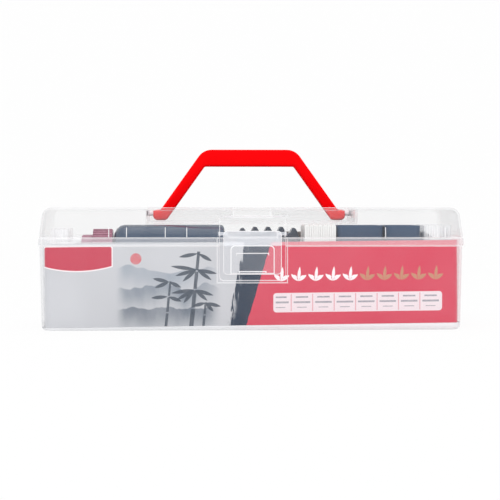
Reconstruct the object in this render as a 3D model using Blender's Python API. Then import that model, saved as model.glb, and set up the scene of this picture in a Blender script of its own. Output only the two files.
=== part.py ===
"""Calligraphy set box: a clear case with a hinged lid, a fold-down handle, a snap latch and its contents.

Metres, +Z up. X runs along the case, the front faces -Y, and the origin is the middle of the flat underside.
"""
import math

import bmesh
import bpy
from mathutils import Matrix, Vector

# Fits shared by every piece
FIT_GAP = 0.0003
OVERRUN = 0.004

# Base box, measured over its rim
CASE_LENGTH = 0.320
CASE_DEPTH = 0.112
CORNER_RADIUS = 0.010
BASE_HEIGHT = 0.069
BASE_WALL = 0.0018
BASE_DRAFT = 0.0015
BASE_BOTTOM_ROUND = 0.0035
RIM_HEIGHT = 0.006
RIM_PROUD = 0.001

# Lid
LID_HEIGHT = 0.0227
LID_WALL = 0.0016
LID_EDGE_INSET = 0.0004
LID_DRAFT = 0.0024
LID_TOP_ROUND = 0.007

# Rear hinges
HINGE_SPREAD = 0.190
KNUCKLE_RADIUS = 0.0024
KNUCKLE_LENGTH = 0.008
LID_KNUCKLE_LENGTH = 0.012
HINGE_PIN_RADIUS = 0.001
HINGE_WEB = 0.0022
HINGE_LEAF_RISE = 0.007

# Handle: a bail of straight runs, folding forward into its pocket
HANDLE_PIVOT_DROP = 0.0045
HANDLE_RISE = 0.0495
HANDLE_THICKNESS = 0.009
HANDLE_EDGE_ROUND = 0.0033
GRIP_HEIGHT = 0.0132
GRIP_TOP_HALF = 0.0358
GRIP_OUTER_RADIUS = 0.0125
GRIP_INNER_RADIUS = 0.002
LEG_WIDTH = 0.0105
FOOT_LEDGE = 0.0038
FOOT_RISE = 0.0028
FOOT_DROP = 0.0055
FOOT_RADIUS = 0.0036
HANDLE_STUB_RADIUS = 0.002
HANDLE_STUB_BITE = 0.0019

# Pocket for the folded handle, and the notch for the fingers that lift it
POCKET_LENGTH = 0.156
POCKET_END_GAP = 0.003
POCKET_FLOOR_GAP = 0.0009
POCKET_FRONT_GAP = 0.0015
POCKET_REAR_GAP = 0.0018
POCKET_SETBACK = 0.0013
PIVOT_BOSS_HALF = 0.0042
PIVOT_BOSS_WALL = 0.0026
NOTCH_WIDTH = 0.0274
NOTCH_DEPTH = 0.006

# Latch, hung on the lid and reaching down over the rim
LATCH_WIDTH = 0.0435
LATCH_THICKNESS = 0.0018
LATCH_PIVOT_RISE = 0.0033
LATCH_REACH = 0.0304
LATCH_PROUD = 0.0004
LATCH_SETBACK = 0.0038
LATCH_BARREL_RADIUS = 0.0022
LATCH_STUB_RADIUS = 0.0013
LATCH_STUB_BITE = 0.0011
LATCH_CORNER_RADIUS = 0.003
LATCH_PANEL_WIDTH = 0.0322
LATCH_PANEL_DROP = 0.0089
LATCH_PANEL_PROUD = 0.0006
LATCH_LIP_WIDTH = 0.020
LATCH_LIP_HEIGHT = 0.0014
LATCH_LIP_PROUD = 0.0018
RECESS_SIDE_GAP = 0.00275
RECESS_RISE = 0.0158
RECESS_FOOT_GAP = 0.0045
RECESS_FLOOR_GAP = 0.0004
BASE_RECESS_INSET = 0.003
CATCH_WIDTH = 0.024
CATCH_PROUD = 0.0007
CATCH_HEIGHT = 0.002
CATCH_DROP = 0.009
HOOK_HEIGHT = 0.0022

# Printed card that lines the base, resting on its left lower edge
CARD_THICKNESS = 0.0006
CARD_TOP_GAP = 0.0014
CARD_END_GAP = 0.0005
CARD_CORNER_RADIUS = 0.0052
CARD_TILT = math.radians(0.6)

# Mat and paper that fill the room under the tray
MAT_HEIGHT_SHARE = 0.594
MAT_SIDE_GAP = 0.002
MAT_FOLD_RADIUS = 0.004
PAPER_SIDE_GAP = 0.004
PAPER_CORNER_RADIUS = 0.0015

# Formed tray, hung so far below the lid's pocket that what it holds clears the pocket
TRAY_WALL = 0.0008
TRAY_END_GAP = 0.001
TRAY_SIDE_GAP = 0.0004
TRAY_CORNER_RADIUS = 0.0042
WELL_LEDGE = 0.0024
WELL_BRIDGE = 0.004
FRONT_WELL_SHARE = 0.4835
WELL_CORNER_RADIUS = 0.003
WELL_GAP = 0.0005
WELL_SPACING = 0.0054
BOTTLE_WELL_MARGIN = 0.0024
BOTTLE_TOP_GAP = 0.0007
ACCESSORY_TOP_GAP = 0.0011
BRUSH_TOP_GAP = 0.0044
BRUSH_WELL_DEPTH = 0.0035
BRUSH_WELL_LEFT_MARGIN = 0.0176
BRUSH_WELL_RIGHT_MARGIN = 0.0056
LEFT_BLOCK_LENGTH = 0.0136
LEFT_BLOCK_RISE = 0.0100
LEFT_BLOCK_GAP = 0.0058
RIGHT_BLOCK_LENGTH = 0.0205
RIGHT_BLOCK_RISE = 0.0128
RIGHT_BLOCK_GAP = 0.0018
BLOCK_END_MARGIN = 0.0032
BLOCK_RIBS = 4
BLOCK_RIB_DEPTH = 0.0009

# Ink bottle, lying on its side with its cap to the left, as wide as its well lets it be
BOTTLE_WALL = 0.0012
BOTTLE_FOOT_ROUND = 0.003
BOTTLE_SHOULDER = 0.0082
BOTTLE_NECK_SHARE = 0.5116
BOTTLE_NECK_LENGTH = 0.013
NECK_BORE_SHARE = 0.782
CAP_SHARE = 0.8372
CAP_SKIRT = 0.0148
CAP_CROWN_SHARE = 0.7778
CAP_CROWN = 0.0088
CAP_EDGE_ROUND = 0.0015
CAP_RUN_GAP = 0.0005
CAP_NOZZLE_BORE = 0.0034
PLUG_FLANGE = 0.0012
PLUG_DEPTH = 0.008
PLUG_BORE = 0.001
NOZZLE_RADIUS = 0.0026
NOZZLE_LENGTH = 0.0055

# Small pieces in the front well, from left to right
REST_LENGTH = 0.050
REST_THICKNESS = 0.016
REST_HEIGHT = 0.025
REST_PEAKS = 5
REST_FOOT_HEIGHT = 0.007
REST_VALLEY_DEPTH = 0.006
REST_END_FULLNESS = 10
REST_EDGE_ROUND = 0.001
REST_SPACING = 0.0017
CLOTH_LENGTH = 0.0236
CLOTH_HEIGHT = 0.0255
CLOTH_FOLD_RADIUS = 0.0035
CLOTH_SPACING = 0.0007
DISH_HEIGHT = 0.0256
DISH_WALL = 0.0016
DISH_FLOOR = 0.003
DISH_FLARE = 0.0012
DISH_CORNER_RADIUS = 0.005
INK_DISH_LENGTH = 0.0355
WATER_DISH_LENGTH = 0.0273
DISH_SPACING = 0.0008

# Brushes, front to back: length of the hair, and room left in the well past its cap
BRUSH_LENGTHS = (
    (0.044, 0.0332),
    (0.038, 0.0412),
    (0.032, 0.0492),
    (0.027, 0.0562),
)
BRUSH_WIDTH_SHARES = (0.264, 0.247, 0.225, 0.204)
BRUSH_SHAFT_SHARE = 0.85
BRUSH_END_GAP = 0.0035
BRUSH_CAP_WALL = 0.0008
BRUSH_CAP_OVERLAP = 0.010
BRUSH_CAP_SPARE = 0.004
BRUSH_CAP_GAP = 0.0004
KNOB_LENGTH = 0.009
KNOB_NECK_SHARE = 0.55
HAIR_ROOT_SHARE = 0.82
HAIR_BELLY_SHARE = 0.35

# Smoothness of round stretches
CORNER_STEPS = 5
ROUND_STEPS = 3
TURN_SIDES = 24
BRUSH_SIDES = 12
SMALL_SIDES = 16
SHARP_ANGLE = math.radians(32)

# Places worked out from the sizes
FLOOR_Z = BASE_WALL
LID_EDGE_Z = BASE_HEIGHT + FIT_GAP
LID_TOP_Z = LID_EDGE_Z + LID_HEIGHT
HINGE_Z = BASE_HEIGHT - RIM_HEIGHT / 2
HINGE_Y = CASE_DEPTH / 2 + FIT_GAP + KNUCKLE_RADIUS
LATCH_PIVOT_Z = BASE_HEIGHT + LATCH_PIVOT_RISE
LATCH_FACE_Y = -CASE_DEPTH / 2 - LATCH_PROUD
LATCH_BACK_Y = LATCH_FACE_Y + LATCH_THICKNESS
LATCH_PIVOT_Y = LATCH_FACE_Y + LATCH_SETBACK
LATCH_BOTTOM_Z = LATCH_PIVOT_Z - LATCH_REACH
RECESS_WIDTH = LATCH_WIDTH + 2 * RECESS_SIDE_GAP
LID_RECESS_Y = LATCH_PIVOT_Y + LATCH_BARREL_RADIUS + RECESS_FLOOR_GAP
BASE_RECESS_Z = LATCH_BOTTOM_Z - RECESS_FOOT_GAP
BASE_RECESS_Y = -CASE_DEPTH / 2 + BASE_RECESS_INSET
CATCH_TOP_Z = BASE_HEIGHT - CATCH_DROP
CATCH_CREST_Y = BASE_RECESS_Y - CATCH_PROUD

FOOT_HALF = POCKET_LENGTH / 2 - POCKET_END_GAP
LEG_FOOT_HALF = FOOT_HALF - FOOT_LEDGE
HANDLE_PIVOT_Z = LID_TOP_Z - HANDLE_PIVOT_DROP
POCKET_Z = HANDLE_PIVOT_Z - FOOT_DROP - POCKET_FLOOR_GAP
POCKET_UNDER_Z = POCKET_Z - LID_WALL
POCKET_FRONT_Y = LID_RECESS_Y + 2 * LID_WALL + POCKET_SETBACK
HANDLE_PIVOT_Y = POCKET_FRONT_Y + POCKET_FRONT_GAP + HANDLE_RISE
POCKET_REAR_Y = HANDLE_PIVOT_Y + HANDLE_THICKNESS / 2 + POCKET_REAR_GAP

FLOOR_HALF_LENGTH = CASE_LENGTH / 2 - RIM_PROUD - BASE_DRAFT - BASE_WALL
CARD_HALF_LENGTH = FLOOR_HALF_LENGTH - CARD_END_GAP
CARD_HALF_DEPTH = -(BASE_RECESS_Y + BASE_WALL + FIT_GAP)
CARD_RISE = CARD_HALF_LENGTH * math.sin(CARD_TILT)
CARD_HEIGHT = (BASE_HEIGHT - CARD_TOP_GAP - FLOOR_Z - FIT_GAP - 2 * CARD_RISE) / math.cos(CARD_TILT)
CARD_Z = FLOOR_Z + FIT_GAP + CARD_RISE + CARD_HEIGHT / 2 * math.cos(CARD_TILT)

TRAY_HALF_LENGTH = CARD_HALF_LENGTH - CARD_THICKNESS - TRAY_END_GAP
TRAY_HALF_DEPTH = CARD_HALF_DEPTH - CARD_THICKNESS - TRAY_SIDE_GAP
FRONT_WELL_WIDTH = (2 * (TRAY_HALF_DEPTH - WELL_LEDGE) - WELL_BRIDGE) * FRONT_WELL_SHARE
FRONT_WELL_Y = (WELL_LEDGE - TRAY_HALF_DEPTH, WELL_LEDGE - TRAY_HALF_DEPTH + FRONT_WELL_WIDTH)
FRONT_WELL_MIDDLE_Y = sum(FRONT_WELL_Y) / 2
BOTTLE_RADIUS = FRONT_WELL_WIDTH / 2 - WELL_GAP
BOTTLE_NECK_RADIUS = BOTTLE_RADIUS * BOTTLE_NECK_SHARE
CAP_RADIUS = BOTTLE_RADIUS * CAP_SHARE
CAP_CROWN_RADIUS = CAP_RADIUS * CAP_CROWN_SHARE
TRAY_Z = POCKET_UNDER_Z - BOTTLE_TOP_GAP - 2 * BOTTLE_RADIUS - FIT_GAP - TRAY_WALL
BRUSH_WELL_Y = (FRONT_WELL_Y[1] + WELL_BRIDGE, TRAY_HALF_DEPTH - WELL_LEDGE)
BRUSH_WELL_X = (BRUSH_WELL_LEFT_MARGIN - TRAY_HALF_LENGTH, TRAY_HALF_LENGTH - BRUSH_WELL_RIGHT_MARGIN)
BRUSH_WELL_WIDTH = BRUSH_WELL_Y[1] - BRUSH_WELL_Y[0]
BRUSH_SPACING = BRUSH_WELL_WIDTH * (1 - sum(BRUSH_WIDTH_SHARES)) / (len(BRUSH_WIDTH_SHARES) + 1)
BRUSH_FLOOR_Z = POCKET_UNDER_Z - BRUSH_TOP_GAP - BRUSH_WELL_WIDTH * max(BRUSH_WIDTH_SHARES) - FIT_GAP
DECK_Z = BRUSH_FLOOR_Z + BRUSH_WELL_DEPTH
BOTTLE_WELL_FLOOR_Z = TRAY_Z + TRAY_WALL
BOTTLE_Z = BOTTLE_WELL_FLOOR_Z + FIT_GAP + BOTTLE_RADIUS
ACCESSORY_FLOOR_Z = POCKET_UNDER_Z - ACCESSORY_TOP_GAP - max(DISH_HEIGHT, CLOTH_HEIGHT, REST_HEIGHT) - FIT_GAP

MAT_Z = FLOOR_Z + FIT_GAP
MAT_HEIGHT = (TRAY_Z - MAT_Z - 2 * FIT_GAP) * MAT_HEIGHT_SHARE
PAPER_Z = MAT_Z + MAT_HEIGHT + FIT_GAP
PAPER_HEIGHT = TRAY_Z - FIT_GAP - PAPER_Z

# The front well's pieces are placed from its right end, and the bottle takes the length that they leave
BLOCK_X = TRAY_HALF_LENGTH - BLOCK_END_MARGIN
ACCESSORY_END_X = BLOCK_X - RIGHT_BLOCK_LENGTH - RIGHT_BLOCK_GAP
WATER_DISH_X = ACCESSORY_END_X - WELL_GAP - WATER_DISH_LENGTH
INK_DISH_X = WATER_DISH_X - DISH_SPACING - INK_DISH_LENGTH
CLOTH_X = INK_DISH_X - CLOTH_SPACING - CLOTH_LENGTH
REST_X = CLOTH_X - REST_SPACING - REST_LENGTH
ACCESSORY_WELL_X = (REST_X - WELL_GAP, ACCESSORY_END_X)
BOTTLE_WELL_X = (LEFT_BLOCK_LENGTH + LEFT_BLOCK_GAP - BLOCK_X, ACCESSORY_WELL_X[0] - WELL_SPACING)
BOTTLE_END_X = BOTTLE_WELL_X[1] - BOTTLE_WELL_MARGIN
BOTTLE_ROOM = BOTTLE_END_X - BOTTLE_WELL_X[0] - BOTTLE_WELL_MARGIN
BOTTLE_LENGTH = BOTTLE_ROOM - BOTTLE_SHOULDER - CAP_RUN_GAP - CAP_SKIRT - CAP_CROWN
CAP_START = BOTTLE_LENGTH + BOTTLE_SHOULDER + CAP_RUN_GAP


def clear_scene():
    """Take out whatever the file starts with."""
    for item in list(bpy.context.scene.objects):
        bpy.data.objects.remove(item, do_unlink=True)


def finish(name, color, roughness, metallic=0.0, alpha=1.0):
    """A plain Principled finish."""
    material = bpy.data.materials.new(name)
    material.use_nodes = True
    shader = material.node_tree.nodes["Principled BSDF"]
    shader.inputs["Base Color"].default_value = (*color, 1.0)
    shader.inputs["Roughness"].default_value = roughness
    shader.inputs["Metallic"].default_value = metallic
    shader.inputs["Alpha"].default_value = alpha
    material.diffuse_color = (*color, alpha)
    return material


def body(name, mesh_data, material=None):
    """A named object made of a finished bmesh, facing out and smooth on its round stretches."""
    bmesh.ops.recalc_face_normals(mesh_data, faces=mesh_data.faces)
    mesh = bpy.data.meshes.new(name)
    mesh_data.to_mesh(mesh)
    mesh_data.free()
    mesh.shade_smooth()
    mesh.set_sharp_from_angle(angle=SHARP_ANGLE)
    made = bpy.data.objects.new(name, mesh)
    bpy.context.scene.collection.objects.link(made)
    if material is None:
        made.hide_render = True
        made.display_type = "WIRE"
    else:
        mesh.materials.append(material)
    return made


def stack(name, rings, material=None, closed=False):
    """A body through rings of equal count: capped at both ends, or joined end to end when closed."""
    mesh_data = bmesh.new()
    loops = [[mesh_data.verts.new(point) for point in ring] for ring in rings]
    pairs = list(zip(loops, loops[1:]))
    if closed:
        pairs.append((loops[-1], loops[0]))
    else:
        mesh_data.faces.new(tuple(reversed(loops[0])))
        mesh_data.faces.new(loops[-1])
    for near, far in pairs:
        for index in range(len(near)):
            after = (index + 1) % len(near)
            mesh_data.faces.new((near[index], near[after], far[after], far[index]))
    return body(name, mesh_data, material)


def rounded(corners, steps=CORNER_STEPS):
    """An outline through corners (u, v, radius), each with a radius turned as an arc."""
    outline = []
    for index, (u, v, radius) in enumerate(corners):
        here = Vector((u, v))
        if radius == 0:
            outline.append((u, v))
            continue
        back = (Vector(corners[index - 1][:2]) - here).normalized()
        ahead = (Vector(corners[(index + 1) % len(corners)][:2]) - here).normalized()
        half = back.angle(ahead) / 2
        centre = here + (back + ahead).normalized() * (radius / math.sin(half))
        start = here + back * (radius / math.tan(half)) - centre
        end = here + ahead * (radius / math.tan(half)) - centre
        first = math.atan2(start.y, start.x)
        turn = (math.atan2(end.y, end.x) - first + math.pi) % (2 * math.pi) - math.pi
        for step in range(steps + 1):
            angle = first + turn * step / steps
            outline.append((centre.x + radius * math.cos(angle), centre.y + radius * math.sin(angle)))
    return outline


def rectangle(low, high, radius):
    """A rectangle from corner low to corner high with rounded corners."""
    return [
        (low[0], low[1], radius), (high[0], low[1], radius),
        (high[0], high[1], radius), (low[0], high[1], radius),
    ]


PLANES = {
    "xy": lambda u, v, w: (u, v, w),
    "xz": lambda u, v, w: (u, w, v),
    "yz": lambda u, v, w: (w, u, v),
}


def prism(name, outline, span, plane="xy", material=None):
    """An outline drawn in a plane and carried across it from span[0] to span[1]."""
    place = PLANES[plane]
    return stack(name, [[place(u, v, w) for u, v in outline] for w in span], material)


def block(name, low, high, material=None):
    """A plain box between two corners."""
    outline = rounded(rectangle(low[:2], high[:2], 0))
    return prism(name, outline, (low[2], high[2]), "xy", material)


def rod(name, radius, span, centre, sides=SMALL_SIDES, material=None):
    """A round bar along X at centre (y, z)."""
    turns = [2 * math.pi * side / sides for side in range(sides)]
    outline = [(centre[0] + radius * math.cos(a), centre[1] + radius * math.sin(a)) for a in turns]
    return prism(name, outline, span, "yz", material)


def turned(name, profile, sides, material, place):
    """A round body about +Z from (radius, height) points, set in the case by a matrix.

    A profile that starts and ends on the axis gives a solid, and one that doesn't gives a ring.
    """
    mesh_data = bmesh.new()
    loops = []
    for radius, height in profile:
        if radius == 0:
            loops.append([mesh_data.verts.new((0, 0, height))] * sides)
            continue
        turns = [2 * math.pi * side / sides for side in range(sides)]
        circle = [(radius * math.cos(a), radius * math.sin(a), height) for a in turns]
        loops.append([mesh_data.verts.new(point) for point in circle])
    pairs = list(zip(loops, loops[1:]))
    if profile[0][0] != 0:
        pairs.append((loops[-1], loops[0]))
    for near, far in pairs:
        for index in range(sides):
            after = (index + 1) % sides
            corners = []
            for corner in (near[index], near[after], far[after], far[index]):
                if corner not in corners:
                    corners.append(corner)
            mesh_data.faces.new(corners)
    bmesh.ops.transform(mesh_data, matrix=place, verts=mesh_data.verts)
    return body(name, mesh_data, material)


def arc(centre, radius, first, last, steps=ROUND_STEPS):
    """Points (u, v) of an arc between two angles in degrees."""
    angles = [math.radians(first + (last - first) * step / steps) for step in range(steps + 1)]
    return [(centre[0] + radius * math.cos(a), centre[1] + radius * math.sin(a)) for a in angles]


def cut(target, tool):
    """Take a tool's shape out of a body."""
    modifier = target.modifiers.new("cut " + tool.name, "BOOLEAN")
    modifier.operation = "DIFFERENCE"
    modifier.object = tool


def join(target, tool):
    """Add a tool's shape to a body."""
    modifier = target.modifiers.new("join " + tool.name, "BOOLEAN")
    modifier.operation = "UNION"
    modifier.object = tool


def hang(piece, point):
    """Put a moving piece's origin on its joint's axis."""
    piece.data.transform(Matrix.Translation(-Vector(point)))
    piece.location = point


def plan_ring(half_length, half_depth, radius, z):
    """One level ring of the case's rounded plan."""
    outline = rounded(rectangle((-half_length, -half_depth), (half_length, half_depth), radius))
    return [(u, v, z) for u, v in outline]


def inset_ring(inset, z):
    """The case's plan at its rim, drawn in by an inset."""
    return plan_ring(CASE_LENGTH / 2 - inset, CASE_DEPTH / 2 - inset, CORNER_RADIUS - inset, z)


def base_inset(z):
    """How far the base's outer wall stands inside the rim's face at a height."""
    wall_top = BASE_HEIGHT - RIM_HEIGHT
    return RIM_PROUD + BASE_DRAFT * (wall_top - z) / wall_top


def lid_inset(z):
    """How far the lid's outer wall stands inside the rim's face at a height below its top round."""
    return LID_EDGE_INSET + LID_DRAFT * (z - LID_EDGE_Z) / (LID_HEIGHT - LID_TOP_ROUND)


def hinge_stations():
    """The two hinges: name and middle along X."""
    return (("left", -HINGE_SPREAD / 2), ("right", HINGE_SPREAD / 2))


def base_knuckles():
    """Spans along X of the base's knuckles, one on each side of each lid knuckle."""
    spans = []
    for _, middle in hinge_stations():
        for side in (-1, 1):
            near = middle + side * (LID_KNUCKLE_LENGTH / 2 + FIT_GAP)
            spans.append(tuple(sorted((near, near + side * KNUCKLE_LENGTH))))
    return spans


def lid_knuckles():
    """Spans along X of the lid's knuckles."""
    half = LID_KNUCKLE_LENGTH / 2
    return [(middle - half, middle + half) for _, middle in hinge_stations()]


def bore_knuckles(target):
    """Drill the pin's way through every knuckle of a body."""
    reach = LID_KNUCKLE_LENGTH / 2 + KNUCKLE_LENGTH + OVERRUN
    for side, middle in hinge_stations():
        way = (middle - reach, middle + reach)
        cut(target, rod(f"{target.name} pin way {side}", HINGE_PIN_RADIUS + FIT_GAP, way, (HINGE_Y, HINGE_Z)))


def make_base():
    """Base box: wall, rim, recess for the latch with its catch ridge, and rear knuckles."""
    clear = finish("clear_base", (0.90, 0.92, 0.93), 0.18, alpha=0.35)
    wall_top = BASE_HEIGHT - RIM_HEIGHT
    foot_inset = base_inset(BASE_BOTTOM_ROUND)
    rings = []
    for u, v in arc((0, BASE_BOTTOM_ROUND), BASE_BOTTOM_ROUND, -90, 0):
        rings.append(inset_ring(foot_inset + BASE_BOTTOM_ROUND - u, v))
    rings += [
        inset_ring(base_inset(wall_top), wall_top),
        inset_ring(RIM_PROUD / 2, wall_top),
        inset_ring(0, wall_top + RIM_PROUD / 2),
        inset_ring(0, BASE_HEIGHT),
    ]
    base = stack("base_tray", rings, clear)

    hollow = stack("base hollow", [
        inset_ring(base_inset(0) + BASE_WALL, FLOOR_Z),
        inset_ring(base_inset(wall_top) + BASE_WALL, BASE_HEIGHT + OVERRUN),
    ])
    half = RECESS_WIDTH / 2
    cut(hollow, block(
        "base recess back",
        (-half - BASE_WALL, -CASE_DEPTH / 2, BASE_RECESS_Z - BASE_WALL),
        (half + BASE_WALL, BASE_RECESS_Y + BASE_WALL, BASE_HEIGHT + 2 * OVERRUN),
    ))
    cut(base, hollow)
    recess = rounded([
        (-half, BASE_RECESS_Z, LATCH_CORNER_RADIUS), (half, BASE_RECESS_Z, LATCH_CORNER_RADIUS),
        (half, BASE_HEIGHT + OVERRUN, 0), (-half, BASE_HEIGHT + OVERRUN, 0),
    ])
    cut(base, prism("base recess", recess, (-CASE_DEPTH / 2 - OVERRUN, BASE_RECESS_Y), "xz"))
    ridge = [
        (BASE_RECESS_Y + BASE_WALL / 2, CATCH_TOP_Z), (BASE_RECESS_Y, CATCH_TOP_Z),
        (CATCH_CREST_Y, CATCH_TOP_Z - CATCH_HEIGHT / 2), (CATCH_CREST_Y, CATCH_TOP_Z - CATCH_HEIGHT),
        (BASE_RECESS_Y + BASE_WALL / 2, CATCH_TOP_Z - CATCH_HEIGHT),
    ]
    join(base, prism("catch ridge", ridge, (-CATCH_WIDTH / 2, CATCH_WIDTH / 2), "yz"))

    for number, span in enumerate(base_knuckles()):
        join(base, rod(f"base knuckle {number}", KNUCKLE_RADIUS, span, (HINGE_Y, HINGE_Z)))
        join(base, block(
            f"base web {number}",
            (span[0], CASE_DEPTH / 2 - BASE_WALL / 2, HINGE_Z - HINGE_WEB / 2),
            (span[1], HINGE_Y, HINGE_Z + HINGE_WEB / 2),
        ))
    bore_knuckles(base)
    return base


def lid_rings(inset, top_drop, first_z):
    """Rings of the lid's outside, or of its inside when drawn in by a wall."""
    round_z = LID_TOP_Z - LID_TOP_ROUND
    radius = LID_TOP_ROUND - top_drop
    rings = [inset_ring(lid_inset(first_z) + inset, first_z)]
    for u, v in arc((0, round_z), radius, 0, 90, ROUND_STEPS + 1):
        rings.append(inset_ring(lid_inset(round_z) + inset + radius - u, v))
    return rings


def make_lid():
    """Lid: domed shell, handle pocket, finger notch, latch recess and rear knuckles."""
    clear = finish("clear_lid", (0.93, 0.94, 0.95), 0.15, alpha=0.3)
    lid = stack("lid_shell", lid_rings(0, 0, LID_EDGE_Z), clear)

    hollow = stack("lid hollow", lid_rings(LID_WALL, LID_WALL, LID_EDGE_Z - OVERRUN))
    half_pocket = POCKET_LENGTH / 2
    half_recess = RECESS_WIDTH / 2
    half_notch = NOTCH_WIDTH / 2
    recess_top_z = LID_EDGE_Z + RECESS_RISE
    beyond_z = LID_TOP_Z + OVERRUN
    cut(hollow, block(
        "pocket back",
        (-half_pocket - LID_WALL, POCKET_FRONT_Y - LID_WALL, POCKET_Z - LID_WALL),
        (half_pocket + LID_WALL, POCKET_REAR_Y + LID_WALL, beyond_z),
    ))
    cut(hollow, block(
        "notch back",
        (-half_notch - LID_WALL, -CASE_DEPTH / 2, LID_TOP_Z - NOTCH_DEPTH - LID_WALL),
        (half_notch + LID_WALL, POCKET_FRONT_Y, beyond_z),
    ))
    cut(hollow, block(
        "lid recess back",
        (-half_recess - LID_WALL, -CASE_DEPTH / 2, LID_EDGE_Z - 2 * OVERRUN),
        (half_recess + LID_WALL, LID_RECESS_Y + LID_WALL, recess_top_z + LID_WALL),
    ))
    for side in (-1, 1):
        span = sorted((side * half_pocket, side * (half_pocket + PIVOT_BOSS_WALL)))
        cut(hollow, block(
            f"pivot boss {side}",
            (span[0], HANDLE_PIVOT_Y - PIVOT_BOSS_HALF, HANDLE_PIVOT_Z - PIVOT_BOSS_HALF),
            (span[1], HANDLE_PIVOT_Y + PIVOT_BOSS_HALF, beyond_z + OVERRUN),
        ))
    cut(lid, hollow)
    cut(lid, block(
        "pocket", (-half_pocket, POCKET_FRONT_Y, POCKET_Z), (half_pocket, POCKET_REAR_Y, beyond_z),
    ))
    cut(lid, block(
        "finger notch",
        (-half_notch, -CASE_DEPTH / 2 - OVERRUN, LID_TOP_Z - NOTCH_DEPTH),
        (half_notch, POCKET_FRONT_Y + LID_WALL, beyond_z + OVERRUN),
    ))
    recess = rounded([
        (-half_recess, LID_EDGE_Z - OVERRUN, 0), (half_recess, LID_EDGE_Z - OVERRUN, 0),
        (half_recess, recess_top_z, LATCH_CORNER_RADIUS), (-half_recess, recess_top_z, LATCH_CORNER_RADIUS),
    ])
    cut(lid, prism("lid recess", recess, (-CASE_DEPTH / 2 - OVERRUN, LID_RECESS_Y), "xz"))

    handle_way = half_pocket + PIVOT_BOSS_WALL + OVERRUN
    latch_way = half_recess + LID_WALL + OVERRUN
    cut(lid, rod(
        "handle pivot way", HANDLE_STUB_RADIUS + FIT_GAP, (-handle_way, handle_way),
        (HANDLE_PIVOT_Y, HANDLE_PIVOT_Z),
    ))
    cut(lid, rod(
        "latch pivot way", LATCH_STUB_RADIUS + FIT_GAP, (-latch_way, latch_way),
        (LATCH_PIVOT_Y, LATCH_PIVOT_Z),
    ))

    for number, span in enumerate(lid_knuckles()):
        join(lid, rod(f"lid knuckle {number}", KNUCKLE_RADIUS, span, (HINGE_Y, HINGE_Z)))
        leaf_back = HINGE_Y + KNUCKLE_RADIUS
        leaf_top = LID_EDGE_Z + HINGE_LEAF_RISE
        leaf = [
            (leaf_back, HINGE_Z), (leaf_back, LID_EDGE_Z + HINGE_WEB),
            (CASE_DEPTH / 2 - LID_EDGE_INSET, leaf_top),
            (CASE_DEPTH / 2 - LID_EDGE_INSET - LID_DRAFT - LID_WALL / 2, leaf_top),
            (CASE_DEPTH / 2 - LID_EDGE_INSET - LID_DRAFT - LID_WALL / 2, LID_EDGE_Z),
            (leaf_back - HINGE_WEB, LID_EDGE_Z), (leaf_back - HINGE_WEB, HINGE_Z),
        ]
        join(lid, prism(f"hinge leaf {number}", leaf, span, "yz"))
    bore_knuckles(lid)
    hang(lid, (0, HINGE_Y, HINGE_Z))
    return lid


def make_hinge_pins():
    """Two plain pins, as long as their three knuckles."""
    steel = finish("steel_pin", (0.62, 0.63, 0.65), 0.3, metallic=1.0)
    reach = LID_KNUCKLE_LENGTH / 2 + FIT_GAP + KNUCKLE_LENGTH
    for side, middle in hinge_stations():
        span = (middle - reach, middle + reach)
        rod(f"hinge_pin_{side}", HINGE_PIN_RADIUS, span, (HINGE_Y, HINGE_Z), SMALL_SIDES, steel)


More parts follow.
